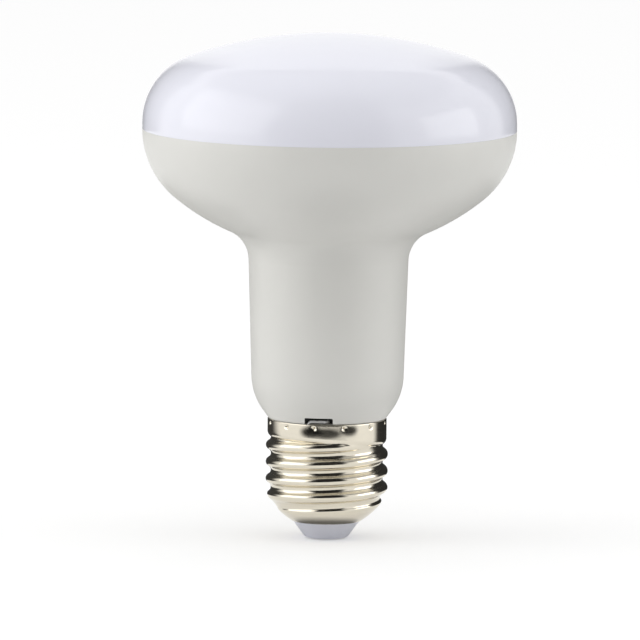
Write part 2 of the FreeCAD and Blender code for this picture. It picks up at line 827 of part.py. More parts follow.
def make_varistor():
    """Lacquered disc that lies against the board."""
    body = new_body("varistor")
    sketch = sketch_on(body, "varistor_outline", offset=-board_face)
    circle(sketch, -s.varistor_x, board_seat + s.varistor_rise, s.varistor_radius)
    extrude(body, "varistor_disc", sketch, s.varistor_depth, backwards=True)
    round_edges(body, "varistor_rim", s.varistor_round, lambda edge: len(edge.Vertexes) == 1)
    return body


def turned_part(label, x, y, corners):
    """Round part with its axis upright beside the driver board; corners are (radius, height)."""
    body = new_body(label)
    sketch = sketch_on(body, label + "_outline", offset=-as_size(y))
    outline(sketch, [(x + radius, height) for radius, height in corners])
    low = corners[0][1]
    high = corners[-1][1]
    line = Part.LineSegment(V(x.value, low.value, 0), V(x.value, high.value, 0))
    number = sketch.addGeometry(line, True)
    tie_point(sketch, number, 1, x, low)
    tie_point(sketch, number, 2, x, high)
    revolve(body, label + "_turned", sketch, axis="Axis0")
    return body


def can_corners(low, length):
    """Aluminium can with its rolled groove near the bung and a rounded top rim."""
    groove = low + s.can_groove
    top = low + length
    rim = s.can_radius - s.can_bead
    return [(as_size(0), low), (rim, low), (s.can_radius, low + s.can_rim),
            (s.can_radius, groove - s.can_rim), (rim, groove), (s.can_radius, groove + s.can_rim),
            (s.can_radius, top - s.can_rim), (s.can_radius - s.can_rim, top), (as_size(0), top)]


def make_input_capacitor():
    return turned_part("input_capacitor", s.input_can_x, -board_face - s.can_radius,
                       can_corners(board_seat + s.input_can_low, s.input_can_length))


def make_output_capacitor():
    return turned_part("output_capacitor", -s.output_can_x, board_face + s.can_radius,
                       can_corners(board_seat + s.output_can_low, s.output_can_length))


def make_filter_choke():
    """Drum core with its winding between two flanges."""
    low = board_seat + s.choke_low
    high = low + s.choke_length
    corners = [(as_size(0), low), (s.choke_radius, low), (s.choke_radius, low + s.choke_flange),
               (s.choke_waist, low + s.choke_flange), (s.choke_waist, high - s.choke_flange),
               (s.choke_radius, high - s.choke_flange), (s.choke_radius, high), (as_size(0), high)]
    return turned_part("filter_choke", s.choke_x, board_face + s.choke_radius, corners)


def make_fuse_resistor():
    """Resistor body with thicker ends."""
    low = board_seat + s.fuse_low
    high = low + s.fuse_length
    taper = s.fuse_radius - s.fuse_neck
    corners = [(as_size(0), low), (s.fuse_radius - taper, low), (s.fuse_radius, low + taper),
               (s.fuse_radius, low + s.fuse_end), (s.fuse_neck, low + s.fuse_end + taper),
               (s.fuse_neck, high - s.fuse_end - taper), (s.fuse_radius, high - s.fuse_end),
               (s.fuse_radius, high - taper), (s.fuse_radius - taper, high), (as_size(0), high)]
    return turned_part("fuse_resistor", -s.fuse_x, board_face + s.fuse_radius, corners)


core_middle_y = -board_face - s.bobbin_depth / 2
core_low = board_seat + s.transformer_rise - s.core_height / 2
window_low = core_low + s.core_back
window_high = core_low + s.core_height - s.core_back
flange_low = window_low + s.bobbin_clearance
flange_high = window_high - s.bobbin_clearance
leg_x = s.core_middle / 2 + s.bobbin_clearance
leg_y = s.core_depth / 2 + s.bobbin_clearance


def make_transformer_core():
    """Ferrite frame with two windows."""
    body = new_body("transformer_core")
    sketch = sketch_on(body, "core_outline", offset=-(core_middle_y + s.core_depth / 2))
    half = s.core_width / 2
    rectangle(sketch, -half, half, core_low, core_low + s.core_height)
    rectangle(sketch, s.core_middle / 2, half - s.core_leg, window_low, window_high)
    rectangle(sketch, -half + s.core_leg, -s.core_middle / 2, window_low, window_high)
    extrude(body, "core_frame", sketch, s.core_depth)
    return body


def ring_sketch(body, name, height, outer_x, outer_y, hole_x, hole_y):
    """Rectangular ring about the transformer's middle leg."""
    sketch = sketch_on(body, name, "XY_Plane", height)
    rectangle(sketch, -outer_x, outer_x, core_middle_y - outer_y, core_middle_y + outer_y)
    rectangle(sketch, -hole_x, hole_x, core_middle_y - hole_y, core_middle_y + hole_y)
    return sketch


def make_transformer_bobbin():
    """Tube on the middle leg between two flanges."""
    body = new_body("transformer_bobbin")
    wide_x = s.bobbin_width / 2
    wide_y = s.bobbin_depth / 2
    lower = ring_sketch(body, "lower_flange_outline", flange_low, wide_x, wide_y, leg_x, leg_y)
    extrude(body, "lower_flange", lower, s.bobbin_flange)
    tube = ring_sketch(body, "tube_outline", flange_low, leg_x + s.bobbin_wall,
                       leg_y + s.bobbin_wall, leg_x, leg_y)
    extrude(body, "bobbin_tube", tube, flange_high - flange_low)
    upper = ring_sketch(body, "upper_flange_outline", flange_high, wide_x, wide_y, leg_x, leg_y)
    extrude(body, "upper_flange", upper, s.bobbin_flange, backwards=True)
    return body


def make_transformer_winding():
    """Wound wire and tape, as one block around the bobbin's tube."""
    body = new_body("transformer_winding")
    outer_x = s.bobbin_width / 2 - s.winding_margin
    outer_y = s.bobbin_depth / 2 - s.winding_margin
    sketch = ring_sketch(body, "winding_outline", flange_low + s.bobbin_flange, outer_x, outer_y,
                         leg_x + s.bobbin_wall, leg_y + s.bobbin_wall)
    extrude(body, "winding_block", sketch, flange_high - flange_low - 2 * s.bobbin_flange)
    corner = math.hypot(outer_x.value, outer_y.value)

    def is_outer_corner(edge):
        middle = edge.BoundBox.Center
        upright = edge.BoundBox.ZLength > 1
        away = math.hypot(middle.x, middle.y - core_middle_y.value)
        return upright and abs(away - corner) < 0.01

    round_edges(body, "winding_corners", s.winding_corner, is_outer_corner)
    return body


def groove_section(sketch, height, inner, outer, half_inner, half_outer, beyond):
    """Section of a helical groove; beyond closes it on the open side of the wall."""
    outline(sketch, [(beyond, height - half_outer), (beyond, height + half_outer),
                     (outer, height + half_outer), (inner, height + half_inner),
                     (inner, height - half_inner), (outer, height - half_outer)])


def make_screw_shell():
    """Rolled screw shell: collar, right-handed thread inside and out, cone and lip, stake dimples."""
    body = new_body("screw_shell")
    blank = sketch_on(body, "blank_outline")
    inner_cone = s.cone_height + cone_lift - (cone_radius - shell_inner) * tangent(s.cone_angle)
    outline(blank, [(lip_radius, lip_low), (cone_radius, s.cone_height),
                    (s.crest_radius, thread_low),
                    (s.crest_radius, collar_bottom - s.thread_top_chamfer),
                    (collar_radius, collar_bottom), (collar_radius, collar_top),
                    (collar_inner, collar_top), (collar_inner, collar_bottom),
                    (shell_inner, collar_bottom - s.spigot_chamfer), (shell_inner, inner_cone),
                    (lip_radius, lip_low + cone_lift)])
    revolve(body, "blank", blank)

    flat = s.thread_flat / 2
    flank_rise = s.thread_pitch / 2 - s.thread_flat
    flank_length = root(flank_rise * flank_rise + s.thread_depth * s.thread_depth)
    wall_shift = s.shell_sheet * flank_length / flank_rise
    beyond = s.crest_radius + s.shell_sheet
    groove = sketch_on(body, "groove_section")
    groove_section(groove, thread_start, thread_root, s.crest_radius, flat,
                   s.thread_pitch / 2 - flat, beyond)
    screw_cut(body, "thread_groove", groove, thread_drop, True)
    runout = sketch_on(body, "runout_section")
    groove_section(runout, thread_start, thread_root, s.crest_radius, flat,
                   s.thread_pitch / 2 - flat, beyond)
    climb = s.thread_pitch * s.runout_turn
    slope = Size(math.degrees(math.atan(s.thread_depth.value / climb.value)),
                 f"atan({s.thread_depth.text} / {climb.text})")
    screw_cut(body, "thread_runout", runout, climb, False, slope)

    hollow = sketch_on(body, "hollow_section")
    thinning = (wall_shift - s.shell_sheet) * flank_rise / s.thread_depth
    groove_section(hollow, thread_start - s.thread_pitch / 2, s.crest_radius - s.shell_sheet,
                   shell_inner, flat - thinning, s.thread_pitch / 2 - flat - thinning,
                   shell_inner - s.shell_sheet)
    screw_cut(body, "crest_hollow", hollow, hollow_drop, True)
    add_dimples(body)
    body.Placement = FreeCAD.Placement(V(), FreeCAD.Rotation(V(0, 0, 1), s.thread_angle.value))
    body.setExpression("Placement.Rotation.Angle", s.thread_angle.text)
    return body


def add_dimples(body):
    """Stake dimples: pits outside the collar that stand proud inside it."""
    turn = s.thread_angle + s.dimple_angle
    inside = sketch_on(body, "stake_outline", turn=turn)
    cone_outline(inside, collar_inner - s.dimple_depth, collar_inner + s.shell_sheet / 2,
                 dimple_height, s.dimple_radius + s.shell_sheet)
    stake = revolve(body, "stake", inside, axis="Axis0")
    repeat_around(body, "stakes", [stake], s.dimple_count)
    outside = sketch_on(body, "pit_outline", turn=turn)
    cone_outline(outside, collar_radius - s.dimple_depth, collar_radius + s.shell_sheet / 2,
                 dimple_height, s.dimple_radius + s.shell_sheet / 2)
    pit = revolve(body, "pit", outside, cut=True, axis="Axis0")
    repeat_around(body, "pits", [pit], s.dimple_count, cut=True)


def make_cap_insulator():
    """Moulded cone held by the shell's lip, with the hole of the contact's shank."""
    body = new_body("cap_insulator")
    sketch = sketch_on(body, "insulator_outline")
    hole = s.shank_radius + s.shank_clearance
    neck = lip_radius - s.lip_clearance
    neck_top = lip_low + cone_lift - s.lip_clearance * tangent(s.cone_angle)
    flange = lip_radius + s.insulator_flange
    edge_low = lip_low + cone_lift + s.insulator_flange * tangent(s.cone_angle)
    top = edge_low + s.insulator_rise
    bore = neck - s.insulator_wall
    outline(sketch, [(hole, s.contact_proud), (s.tip_radius, s.contact_proud, s.tip_corner, LEFT),
                     (s.tip_radius + s.tip_corner * sine(s.cone_angle),
                      s.contact_proud + s.tip_corner * (1 - cosine(s.cone_angle))),
                     (lip_radius - s.lip_step, lip_low - s.lip_clearance), (neck, lip_low),
                     (neck, neck_top), (flange, edge_low), (flange, top),
                     (bore, top), (bore, s.insulator_floor),
                     (hole, s.insulator_floor)])
    revolve(body, "insulator", sketch)
    return body


def make_centre_contact():
    """Nail contact: flat head on the insulator's tip, shank through it."""
    body = new_body("centre_contact")
    sketch = sketch_on(body, "contact_outline")
    outline(sketch, [(0, 0), (s.contact_radius - s.contact_edge, 0), (s.contact_radius, s.contact_edge),
                     (s.contact_radius, s.contact_proud), (s.shank_radius, s.contact_proud),
                     (s.shank_radius, s.shank_top), (0, s.shank_top)])
    revolve(body, "contact", sketch)
    return body


def tube_along(label, points, bend, radius):
    """Round wire along straight runs that tangent arcs join."""
    edges = []
    start = points[0]
    for index in range(1, len(points) - 1):
        corner = points[index]
        into = (corner - points[index - 1]).normalize()
        out = (points[index + 1] - corner).normalize()
        half_turn = into.getAngle(out) / 2
        trim = bend * math.tan(half_turn)
        arc_start = corner - into * trim
        arc_end = corner + out * trim
        inward = (out - into).normalize()
        arc_middle = corner + inward * (bend / math.cos(half_turn) - bend)
        edges.append(Part.LineSegment(start, arc_start).toShape())
        edges.append(Part.Arc(arc_start, arc_middle, arc_end).toShape())
        start = arc_end
    edges.append(Part.LineSegment(start, points[-1]).toShape())
    path = Part.Wire(edges)
    direction = points[1] - points[0]
    ring = Part.Wire([Part.Circle(points[0], direction, radius).toShape()])
    wire = doc.addObject("Part::Feature", label)
    wire.Label = label
    wire.Shape = path.makePipeShell([ring], True, False)
    wire.Placement = FreeCAD.Placement()
    expected = math.pi * radius ** 2 * path.Length
    print(f"{label}: length {path.Length:.2f}, bend {bend:.2f}, volume/expected "
          f"{wire.Shape.Volume / expected:.5f}")
    return wire


def make_neutral_wire():
    """Bare wire from the board's tongue, folded along the notch and turned down inside the collar."""
    radius = s.neutral_radius.value
    reach = collar_inner.value - s.neutral_clearance.value - radius
    corners = [(x.value, -math.sqrt(reach ** 2 - x.value ** 2)) for x in (neutral_x, fold_x)]
    high = neutral_height.value
    points = [V(neutral_x.value, -board_face.value, high)]
    points += [V(x, y, high) for x, y in corners]
    points.append(V(*corners[1], high - s.neutral_length.value))
    return tube_along("neutral_wire", points, s.neutral_bend.value, radius)


def make_live_wire():
    """Insulated wire from the board's tongue to the top of the contact's shank."""
    face = board_face.value
    high = live_high.value
    low = ((s.tongue_bottom + s.shank_top) / 2).value
    away = (2 * s.live_bend + s.live_start).value
    points = [V(0, face, high), V(0, away, high), V(0, away, low), V(0, 0, low),
              V(0, 0, s.shank_top.value)]
    return tube_along("live_wire", points, s.live_bend.value, s.live_radius.value)


def make_led_wire(label, side):
    """Insulated lead from the driver board up through the tray to its pad on the LED board."""
    face = -board_face.value
    x = side * s.lead_x.value
    pad_x = side * s.lead_pad_x.value
    y = -lead_y.value
    top = led_board_top.value
    high = top + 2 * s.lead_bend.value
    low = (board_top - s.lead_drop).value
    points = [V(x, face, low), V(x, y, low), V(x, y, high), V(pad_x, y, high), V(pad_x, y, top)]
    return tube_along(label, points, s.lead_bend.value, s.lead_radius.value)


def check_document(nodes):
    """Stop on a failed object or an invalid shape."""
    doc.recompute()
    for item in doc.Objects:
        if "Invalid" in item.State or "Error" in item.State:
            raise RuntimeError(f"{item.Name} failed: {item.State}")
    for node in nodes:
        if node.Shape.isNull() or not node.Shape.isValid() or not node.Shape.Solids:
            raise RuntimeError(f"{node.Label} has no valid solid")


def main():
    nodes = [make_housing(), make_cover(), make_heat_sink(), make_led_board(), make_leds(),
             make_board_screws(), make_driver_board(), make_transformer_core(),
             make_transformer_bobbin(), make_transformer_winding(), make_bridge_rectifier(),
             make_driver_chip(), make_output_diode(), make_input_capacitor(),
             make_output_capacitor(), make_film_capacitor(), make_filter_choke(),
             make_fuse_resistor(), make_varistor(), make_screw_shell(), make_cap_insulator(),
             make_centre_contact(), make_neutral_wire(), make_live_wire(),
             make_led_wire("led_positive_wire", 1), make_led_wire("led_negative_wire", -1)]
    check_document(nodes)
    os.makedirs("parts", exist_ok=True)
    for node in nodes:
        node.Shape.exportStep(f"parts/{node.Label}.step")
        print(f"{node.Label}: {len(node.Shape.Solids)} solid(s), {node.Shape.Volume:.1f} mm3")


main()
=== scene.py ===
"""Reflector lamp with its moulded housing, opal cover and rolled screw cap, dressed for rendering.

Sizes of the lamp are millimetres and turn into metres when a mesh is made. Heights are above the tip of
the centre contact. Angles about the lamp's axis are degrees, anticlockwise from +X seen from above.
"""
import math

import bmesh
import bpy
import numpy as np
from mathutils import Matrix, Vector


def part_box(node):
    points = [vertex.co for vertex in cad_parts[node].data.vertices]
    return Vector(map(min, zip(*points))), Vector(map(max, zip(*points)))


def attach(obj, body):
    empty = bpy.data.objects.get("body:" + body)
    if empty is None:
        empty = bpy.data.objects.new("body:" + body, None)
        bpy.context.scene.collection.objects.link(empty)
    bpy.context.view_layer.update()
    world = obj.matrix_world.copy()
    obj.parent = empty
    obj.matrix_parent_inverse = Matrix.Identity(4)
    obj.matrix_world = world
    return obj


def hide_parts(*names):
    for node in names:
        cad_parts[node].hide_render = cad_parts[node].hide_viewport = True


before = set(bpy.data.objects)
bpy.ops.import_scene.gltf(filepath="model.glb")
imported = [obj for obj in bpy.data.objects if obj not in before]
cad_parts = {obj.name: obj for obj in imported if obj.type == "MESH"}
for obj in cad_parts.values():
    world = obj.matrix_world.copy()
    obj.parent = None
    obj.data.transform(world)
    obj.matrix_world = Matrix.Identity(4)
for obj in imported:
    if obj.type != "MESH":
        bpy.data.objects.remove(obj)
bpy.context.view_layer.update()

MM = 0.001
ROUND = 256
SHARP = 32.0
# how far a cut runs past the face where it starts
OVERRUN = 1.0

# housing
HEAD_RADIUS = round(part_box("housing")[1][0] / MM, 3)
SEAM = round(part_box("housing")[1][2] / MM, 3)
SHOULDER_RADIUS = 18.8
SHOULDER_ANGLE = 50.8
BELLY_RADIUS = 51.0
THROAT_RADIUS = 7.1
NECK_RADIUS = 16.3
NECK_DRAFT = 1.8
ANKLE_RADIUS = 12.8
FOOT_RADIUS = 12.65
FOOT_SLOPE = 54.0
RIM = 26.1
WALL = 2.0
MOUTH_RADIUS = HEAD_RADIUS - 2.3
LEDGE = SEAM - 6.0
BEAD_MIDDLE = SEAM - 2.5
BEAD_HALF = 0.6
BEAD_HEIGHT = 0.3
BOARD_SEAT = RIM + 2.4
SPIGOT_LOW = 9.8
SPIGOT_BORE = 9.8
SPIGOT_RADIUS = 11.43
SEAT_RADIUS = 12.3
SEAT_LOW = 22.3
SEAT_CHAMFER = 0.7
SEAM_EDGE = 0.08
RIM_EDGE = 0.12
RAILS_IN = 12.2
RAILS_OUT = 15.2
RAIL_NEAR = 0.9
RAIL_FAR = 2.1
RAILS_LOW = 34.5
RAILS_HIGH = 57.0
STAKE_TIP = 11.75
STAKE_REACH = 1.05

# notch above the cap
NOTCH_LEFT = -4.8
NOTCH_RIGHT = 1.2
NOTCH_TOP = 27.45
NOTCH_FLOOR = 10.9
NOTCH_CORNER = 0.4
WIRE_X = 0.2
WIRE_HEIGHT = 26.47
WIRE_HOLE = 0.41
GROOVE_LEFT = -4.47
GROOVE_RIGHT = -3.2
GROOVE_LOW = 21.95
# painted shade: the Y range, margin and near-black colour that paint the back of the notch as if it lay
# in shadow
NOTCH_PAINTED_SHADE_DEPTHS = (-11.6, -10.5)
NOTCH_MARGIN = 0.1
NOTCH_PAINTED_SHADE_COLOUR = (0.02, 0.02, 0.02)

# cover
COVER_TOP = round(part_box("cover")[1][2] / MM, 3)
COVER_BAND = 1.3
COVER_SHOULDER = 14.85
COVER_WALL = 1.5
SKIRT_RADIUS = MOUTH_RADIUS - 0.1
SKIRT_WALL = 1.3
SKIRT_LOW = LEDGE + 1.0

# screw shell
SHEET = 0.35
CREST = 13.075
DEPTH = 1.095
PITCH = 3.629
THREAD_START = 21.9
THREAD_ANGLE = 180.0
# angles along the helix between which the crest sinks into the collar
CREST_FADE = (-100.0, -20.0)
COLLAR_RADIUS = 12.75
COLLAR_TOP = round(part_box("screw_shell")[1][2] / MM, 3)
COLLAR_ROUND = 1.3
COLLAR_END = 22.0
# the collar's end falls by this much between the two angles, round the front, and rises again behind
COLLAR_FALL = 1.55
COLLAR_FRONT = (220.0, 370.0)
COLLAR_TUCK = 4.0
COLLAR_FILLET = 0.25
CONE_START = 8.0
CONE_RADIUS = 12.0
CONE_TANGENT = 36.5
CONE_ARC = 15.9
# heights between which the thread's root comes in above the cone
GROOVE_FADE = (6.9, 8.1)
LIP = 3.83
DIMPLES = 12
DIMPLE_ANGLE = 17.0
DIMPLE_HEIGHT = 25.15
DIMPLE_DEPTH = 0.45
DIMPLE_WIDTH = 0.36
# heights where the spacing of the mesh's rings changes
THREAD_HIGH = 23.0
THREAD_LOW = 7.0
COLLAR_ROWS = 24
THREAD_ROWS = 122
CONE_ROWS = 20
COLUMNS = 360

# insulator and contact
TIP_RADIUS = 4.0
TIP_CORNER = 1.2
TIP_ANGLE = 42.5
INSULATOR_LOW = 0.25
INSULATOR_FLOOR = 2.4
INSULATOR_WALL = 2.35
INSULATOR_FLANGE = 1.85
INSULATOR_RISE = 1.4
LIP_RADIUS = 7.45
LIP_STEP = 0.3
LIP_GAP = 0.1
CONTACT_RADIUS = 2.5
CONTACT_EDGE = 0.15
SHANK_RADIUS = 1.1
SHANK_GAP = 0.05
SHANK_TOP = 6.5


# outlines and meshes


def turned(angle):
    """Unit vector at an angle in degrees."""
    return Vector((math.cos(math.radians(angle)), math.sin(math.radians(angle))))


def arc(centre, start, end, steps):
    """Points after start, up to end, along the shorter arc about the centre."""
    centre = Vector(centre)
    first = Vector(start) - centre
    last = Vector(end) - centre
    begin = math.atan2(first.y, first.x)
    sweep = (math.atan2(last.y, last.x) - begin + math.pi) % (2 * math.pi) - math.pi
    angles = [math.degrees(begin + sweep * step / steps) for step in range(1, steps + 1)]
    return [tuple(centre + turned(angle) * first.length) for angle in angles]


def eased(outline, steps=4):
    """Closed outline in which a corner with a third number is rounded over that distance."""
    points = []
    for index, corner in enumerate(outline):
        middle = Vector(corner[:2])
        if len(corner) == 2:
            points.append(tuple(middle))
            continue
        before = (Vector(outline[index - 1][:2]) - middle).normalized() * corner[2]
        after = (Vector(outline[(index + 1) % len(outline)][:2]) - middle).normalized() * corner[2]
        for step in range(steps + 1):
            share = step / steps
            points.append(tuple(middle + before * (1 - share) ** 2 + after * share ** 2))
    return points


def new_object(name, bm):
    """Object from a bmesh, smooth apart from its sharp edges."""
    bmesh.ops.recalc_face_normals(bm, faces=bm.faces)
    mesh = bpy.data.meshes.new(name)
    bm.to_mesh(mesh)
    bm.free()
    piece = bpy.data.objects.new(name, mesh)
    bpy.context.scene.collection.objects.link(piece)
    smooth(piece)
    return piece


def smooth(piece):
    """Smooth shading, with the edges left sharp where faces meet at more than the set angle."""
    piece.data.shade_smooth()
    piece.data.set_sharp_from_angle(angle=math.radians(SHARP))


def join_rings(bm, rings, closed):
    """Faces between rings of vertices; a ring of one vertex is a pole."""
    following = rings[1:] + rings[:1] if closed else rings[1:]
    count = max(len(ring) for ring in rings)
    for lower, upper in zip(rings, following):
        for index in range(count):
            corners = [lower[index % len(lower)], lower[(index + 1) % len(lower)],
                       upper[(index + 1) % len(upper)], upper[index % len(upper)]]
            corners = list(dict.fromkeys(corners))
            if len(corners) > 2:
                bm.faces.new(corners)


def revolve(name, outline, segments=ROUND):
    """Solid turned about the lamp's axis from a closed outline of (radius, height)."""
    bm = bmesh.new()
    turns = [turned(360 * index / segments) for index in range(segments)]
    rings = []
    for radius, height in outline:
        spots = turns if radius > MM else turns[:1]
        rings.append([bm.verts.new((radius * turn.x * MM, radius * turn.y * MM, height * MM))
                      for turn in spots])
    join_rings(bm, rings, True)
    return new_object(name, bm)


def prism(bm, outline, near, far):
    """Solid between two planes across Y from a closed outline of (x, height)."""
    ends = [[bm.verts.new((x * MM, depth * MM, height * MM)) for x, height in outline]
            for depth in (near, far)]
    for ring in ends:
        bm.faces.new(ring)
    join_rings(bm, ends, False)


def boolean(piece, tool, operation):
    """Cuts the tool out of the piece, or joins it on, and removes the tool."""
    change = piece.modifiers.new("change", "BOOLEAN")
    change.operation = operation
    change.solver = "EXACT"
    change.object = tool
    bpy.context.view_layer.update()
    graph = bpy.context.evaluated_depsgraph_get()
    result = bpy.data.meshes.new_from_object(piece.evaluated_get(graph))
    piece.modifiers.clear()
    before = piece.data
    piece.data = result
    bpy.data.meshes.remove(before)
    bpy.data.objects.remove(tool)
    smooth(piece)


# housing


def bowl_line(inset):
    """The housing's line from its rim up to the seam, moved inwards by the inset."""
    out_neck = turned(-NECK_DRAFT)
    out_foot = turned(FOOT_SLOPE - 90)
    ankle = ANKLE_RADIUS - inset
    throat = THROAT_RADIUS + inset
    belly = BELLY_RADIUS - inset
    shoulder = SHOULDER_RADIUS - inset
    rim = Vector((FOOT_RADIUS - inset / turned(FOOT_SLOPE).y, RIM))
    ankle_x = NECK_RADIUS - inset * out_neck.x - ankle * out_neck.x
    run = (ankle_x + ankle * out_foot.x - rim.x) / turned(FOOT_SLOPE).x
    foot_end = rim + turned(FOOT_SLOPE) * run
    ankle_centre = foot_end - out_foot * ankle
    neck_low = ankle_centre + out_neck * ankle
    mouth = Vector((HEAD_RADIUS - inset, SEAM))
    shoulder_centre = mouth - Vector((shoulder, 0))
    belly_top = shoulder_centre + turned(-SHOULDER_ANGLE) * shoulder
    belly_centre = belly_top - turned(-SHOULDER_ANGLE) * belly
    span = belly + throat
    offset = (neck_low - belly_centre).dot(out_neck) + throat
    throat_centre = belly_centre + out_neck * offset
    throat_centre -= turned(90 - NECK_DRAFT) * math.sqrt(span ** 2 - offset ** 2)
    neck_high = throat_centre - out_neck * throat
    belly_low = belly_centre + (throat_centre - belly_centre) * (belly / span)
    return ([tuple(rim), tuple(foot_end)] + arc(ankle_centre, foot_end, neck_low, 20)
            + [tuple(neck_high)] + arc(throat_centre, neck_high, belly_low, 20)
            + arc(belly_centre, belly_low, belly_top, 36)
            + arc(shoulder_centre, belly_top, mouth, 28))


def make_housing():
    """Bowl, neck and foot in one moulding, with the spigot, the board rails and the notch."""
    outside = bowl_line(0)
    wall = bowl_line(WALL)
    radii, heights = zip(*wall)
    ledge_edge = float(np.interp(LEDGE, heights, radii))
    seat_edge = float(np.interp(BOARD_SEAT, heights, radii))
    outline = [(*outside[0], RIM_EDGE)] + outside[1:-1]
    outline += [(*outside[-1], SEAM_EDGE), (MOUTH_RADIUS, SEAM),
                (MOUTH_RADIUS, BEAD_MIDDLE + BEAD_HALF), (MOUTH_RADIUS + BEAD_HEIGHT, BEAD_MIDDLE),
                (MOUTH_RADIUS, BEAD_MIDDLE - BEAD_HALF), (MOUTH_RADIUS, LEDGE),
                (ledge_edge, LEDGE)]
    outline += [point for point in reversed(wall) if BOARD_SEAT < point[1] < LEDGE]
    outline += [(seat_edge, BOARD_SEAT), (SPIGOT_BORE, BOARD_SEAT), (SPIGOT_BORE, SPIGOT_LOW),
                (SPIGOT_RADIUS, SPIGOT_LOW), (SPIGOT_RADIUS, SEAT_LOW - SEAT_CHAMFER),
                (SEAT_RADIUS, SEAT_LOW), (SEAT_RADIUS, RIM)]
    piece = revolve("moulded_housing", eased(outline))
    boolean(piece, rail_blocks(), "UNION")
    boolean(piece, notch_block(), "DIFFERENCE")
    boolean(piece, groove_block(), "DIFFERENCE")
    boolean(piece, stake_cones(), "DIFFERENCE")
    return piece


def rail_blocks():
    """The two pairs of rails that the driver board slides in."""
    bm = bmesh.new()
    for low, high in ((RAILS_IN, RAILS_OUT), (-RAILS_OUT, -RAILS_IN)):
        section = [(low, RAILS_LOW), (high, RAILS_LOW), (high, RAILS_HIGH), (low, RAILS_HIGH)]
        prism(bm, section, RAIL_NEAR, RAIL_FAR)
        prism(bm, section, -RAIL_FAR, -RAIL_NEAR)
    return new_object("rail_blocks", bm)


def notch_block():
    """The notch in the rim, open downwards and outwards."""
    bm = bmesh.new()
    low = RIM - OVERRUN
    section = eased([(NOTCH_LEFT, low), (NOTCH_RIGHT, low), (NOTCH_RIGHT, NOTCH_TOP, NOTCH_CORNER),
                     (NOTCH_LEFT, NOTCH_TOP, NOTCH_CORNER / 2)])
    prism(bm, section, -NECK_RADIUS, -NOTCH_FLOOR)
    return new_object("notch_block", bm)


def groove_block():
    """The wire's hole into the spigot's bore and its groove down to the collar's end."""
    bm = bmesh.new()
    hole = [tuple(Vector((WIRE_X, WIRE_HEIGHT)) + turned(15 * step) * WIRE_HOLE) for step in range(24)]
    prism(bm, hole, -NOTCH_FLOOR - OVERRUN, -SPIGOT_BORE + OVERRUN * 2)
    high = RIM + OVERRUN / 2
    section = [(GROOVE_LEFT, GROOVE_LOW), (GROOVE_RIGHT, GROOVE_LOW), (GROOVE_RIGHT, high),
               (GROOVE_LEFT, high)]
    prism(bm, section, -COLLAR_RADIUS, -NOTCH_FLOOR)
    return new_object("groove_block", bm)


def stake_cones():
    """Cones that leave the recesses for the shell's stakes."""
    bm = bmesh.new()
    up = Vector((0, 0, 1))
    spokes = [turned(30 * step) * STAKE_REACH for step in range(12)]
    for index in range(DIMPLES):
        out = turned(DIMPLE_ANGLE + 360 * index / DIMPLES)
        along = Vector((out.x, out.y, 0))
        across = Vector((-out.y, out.x, 0))
        tip = bm.verts.new((along * STAKE_TIP + up * DIMPLE_HEIGHT) * MM)
        base = along * COLLAR_RADIUS + up * DIMPLE_HEIGHT
        ring = [bm.verts.new((base + across * spoke.x + up * spoke.y) * MM) for spoke in spokes]
        join_rings(bm, [[tip], ring], False)
        bm.faces.new(ring)
    return new_object("stake_cones", bm)


# cover, insulator and contact


def make_cover():
    """Domed cover: a short band, a shoulder arc and the dome, with a skirt in the housing's mouth."""
    band = SEAM + COVER_BAND
    rise = COVER_TOP - band
    reach = HEAD_RADIUS - COVER_SHOULDER
    dome = (reach ** 2 + rise ** 2 - COVER_SHOULDER ** 2) / (2 * (rise - COVER_SHOULDER))
    centre = (0, COVER_TOP - dome)
    shoulder = (reach, band)
    share = dome / (dome - COVER_SHOULDER)
    inner_share = (dome - COVER_WALL) / (dome - COVER_SHOULDER)
    meet = (reach * share, centre[1] + (band - centre[1]) * share)
    inner_meet = (reach * inner_share, centre[1] + (band - centre[1]) * inner_share)
    skirt_inner = SKIRT_RADIUS - SKIRT_WALL
    outline = [(skirt_inner, SKIRT_LOW), (SKIRT_RADIUS, SKIRT_LOW),
               (SKIRT_RADIUS, BEAD_MIDDLE - BEAD_HALF), (SKIRT_RADIUS + BEAD_HEIGHT, BEAD_MIDDLE),
               (SKIRT_RADIUS, BEAD_MIDDLE + BEAD_HALF), (SKIRT_RADIUS, SEAM),
               (HEAD_RADIUS, SEAM, SEAM_EDGE), (HEAD_RADIUS, band)]
    outline += arc(shoulder, (HEAD_RADIUS, band), meet, 40)
    outline += arc(centre, meet, (0, COVER_TOP), 60)
    outline += [(0, COVER_TOP - COVER_WALL)]
    outline += arc(centre, (0, COVER_TOP - COVER_WALL), inner_meet, 30)
    outline += arc(shoulder, inner_meet, (HEAD_RADIUS - COVER_WALL, band), 20)
    outline += [(skirt_inner, band)]
    return revolve("domed_cover", eased(outline))


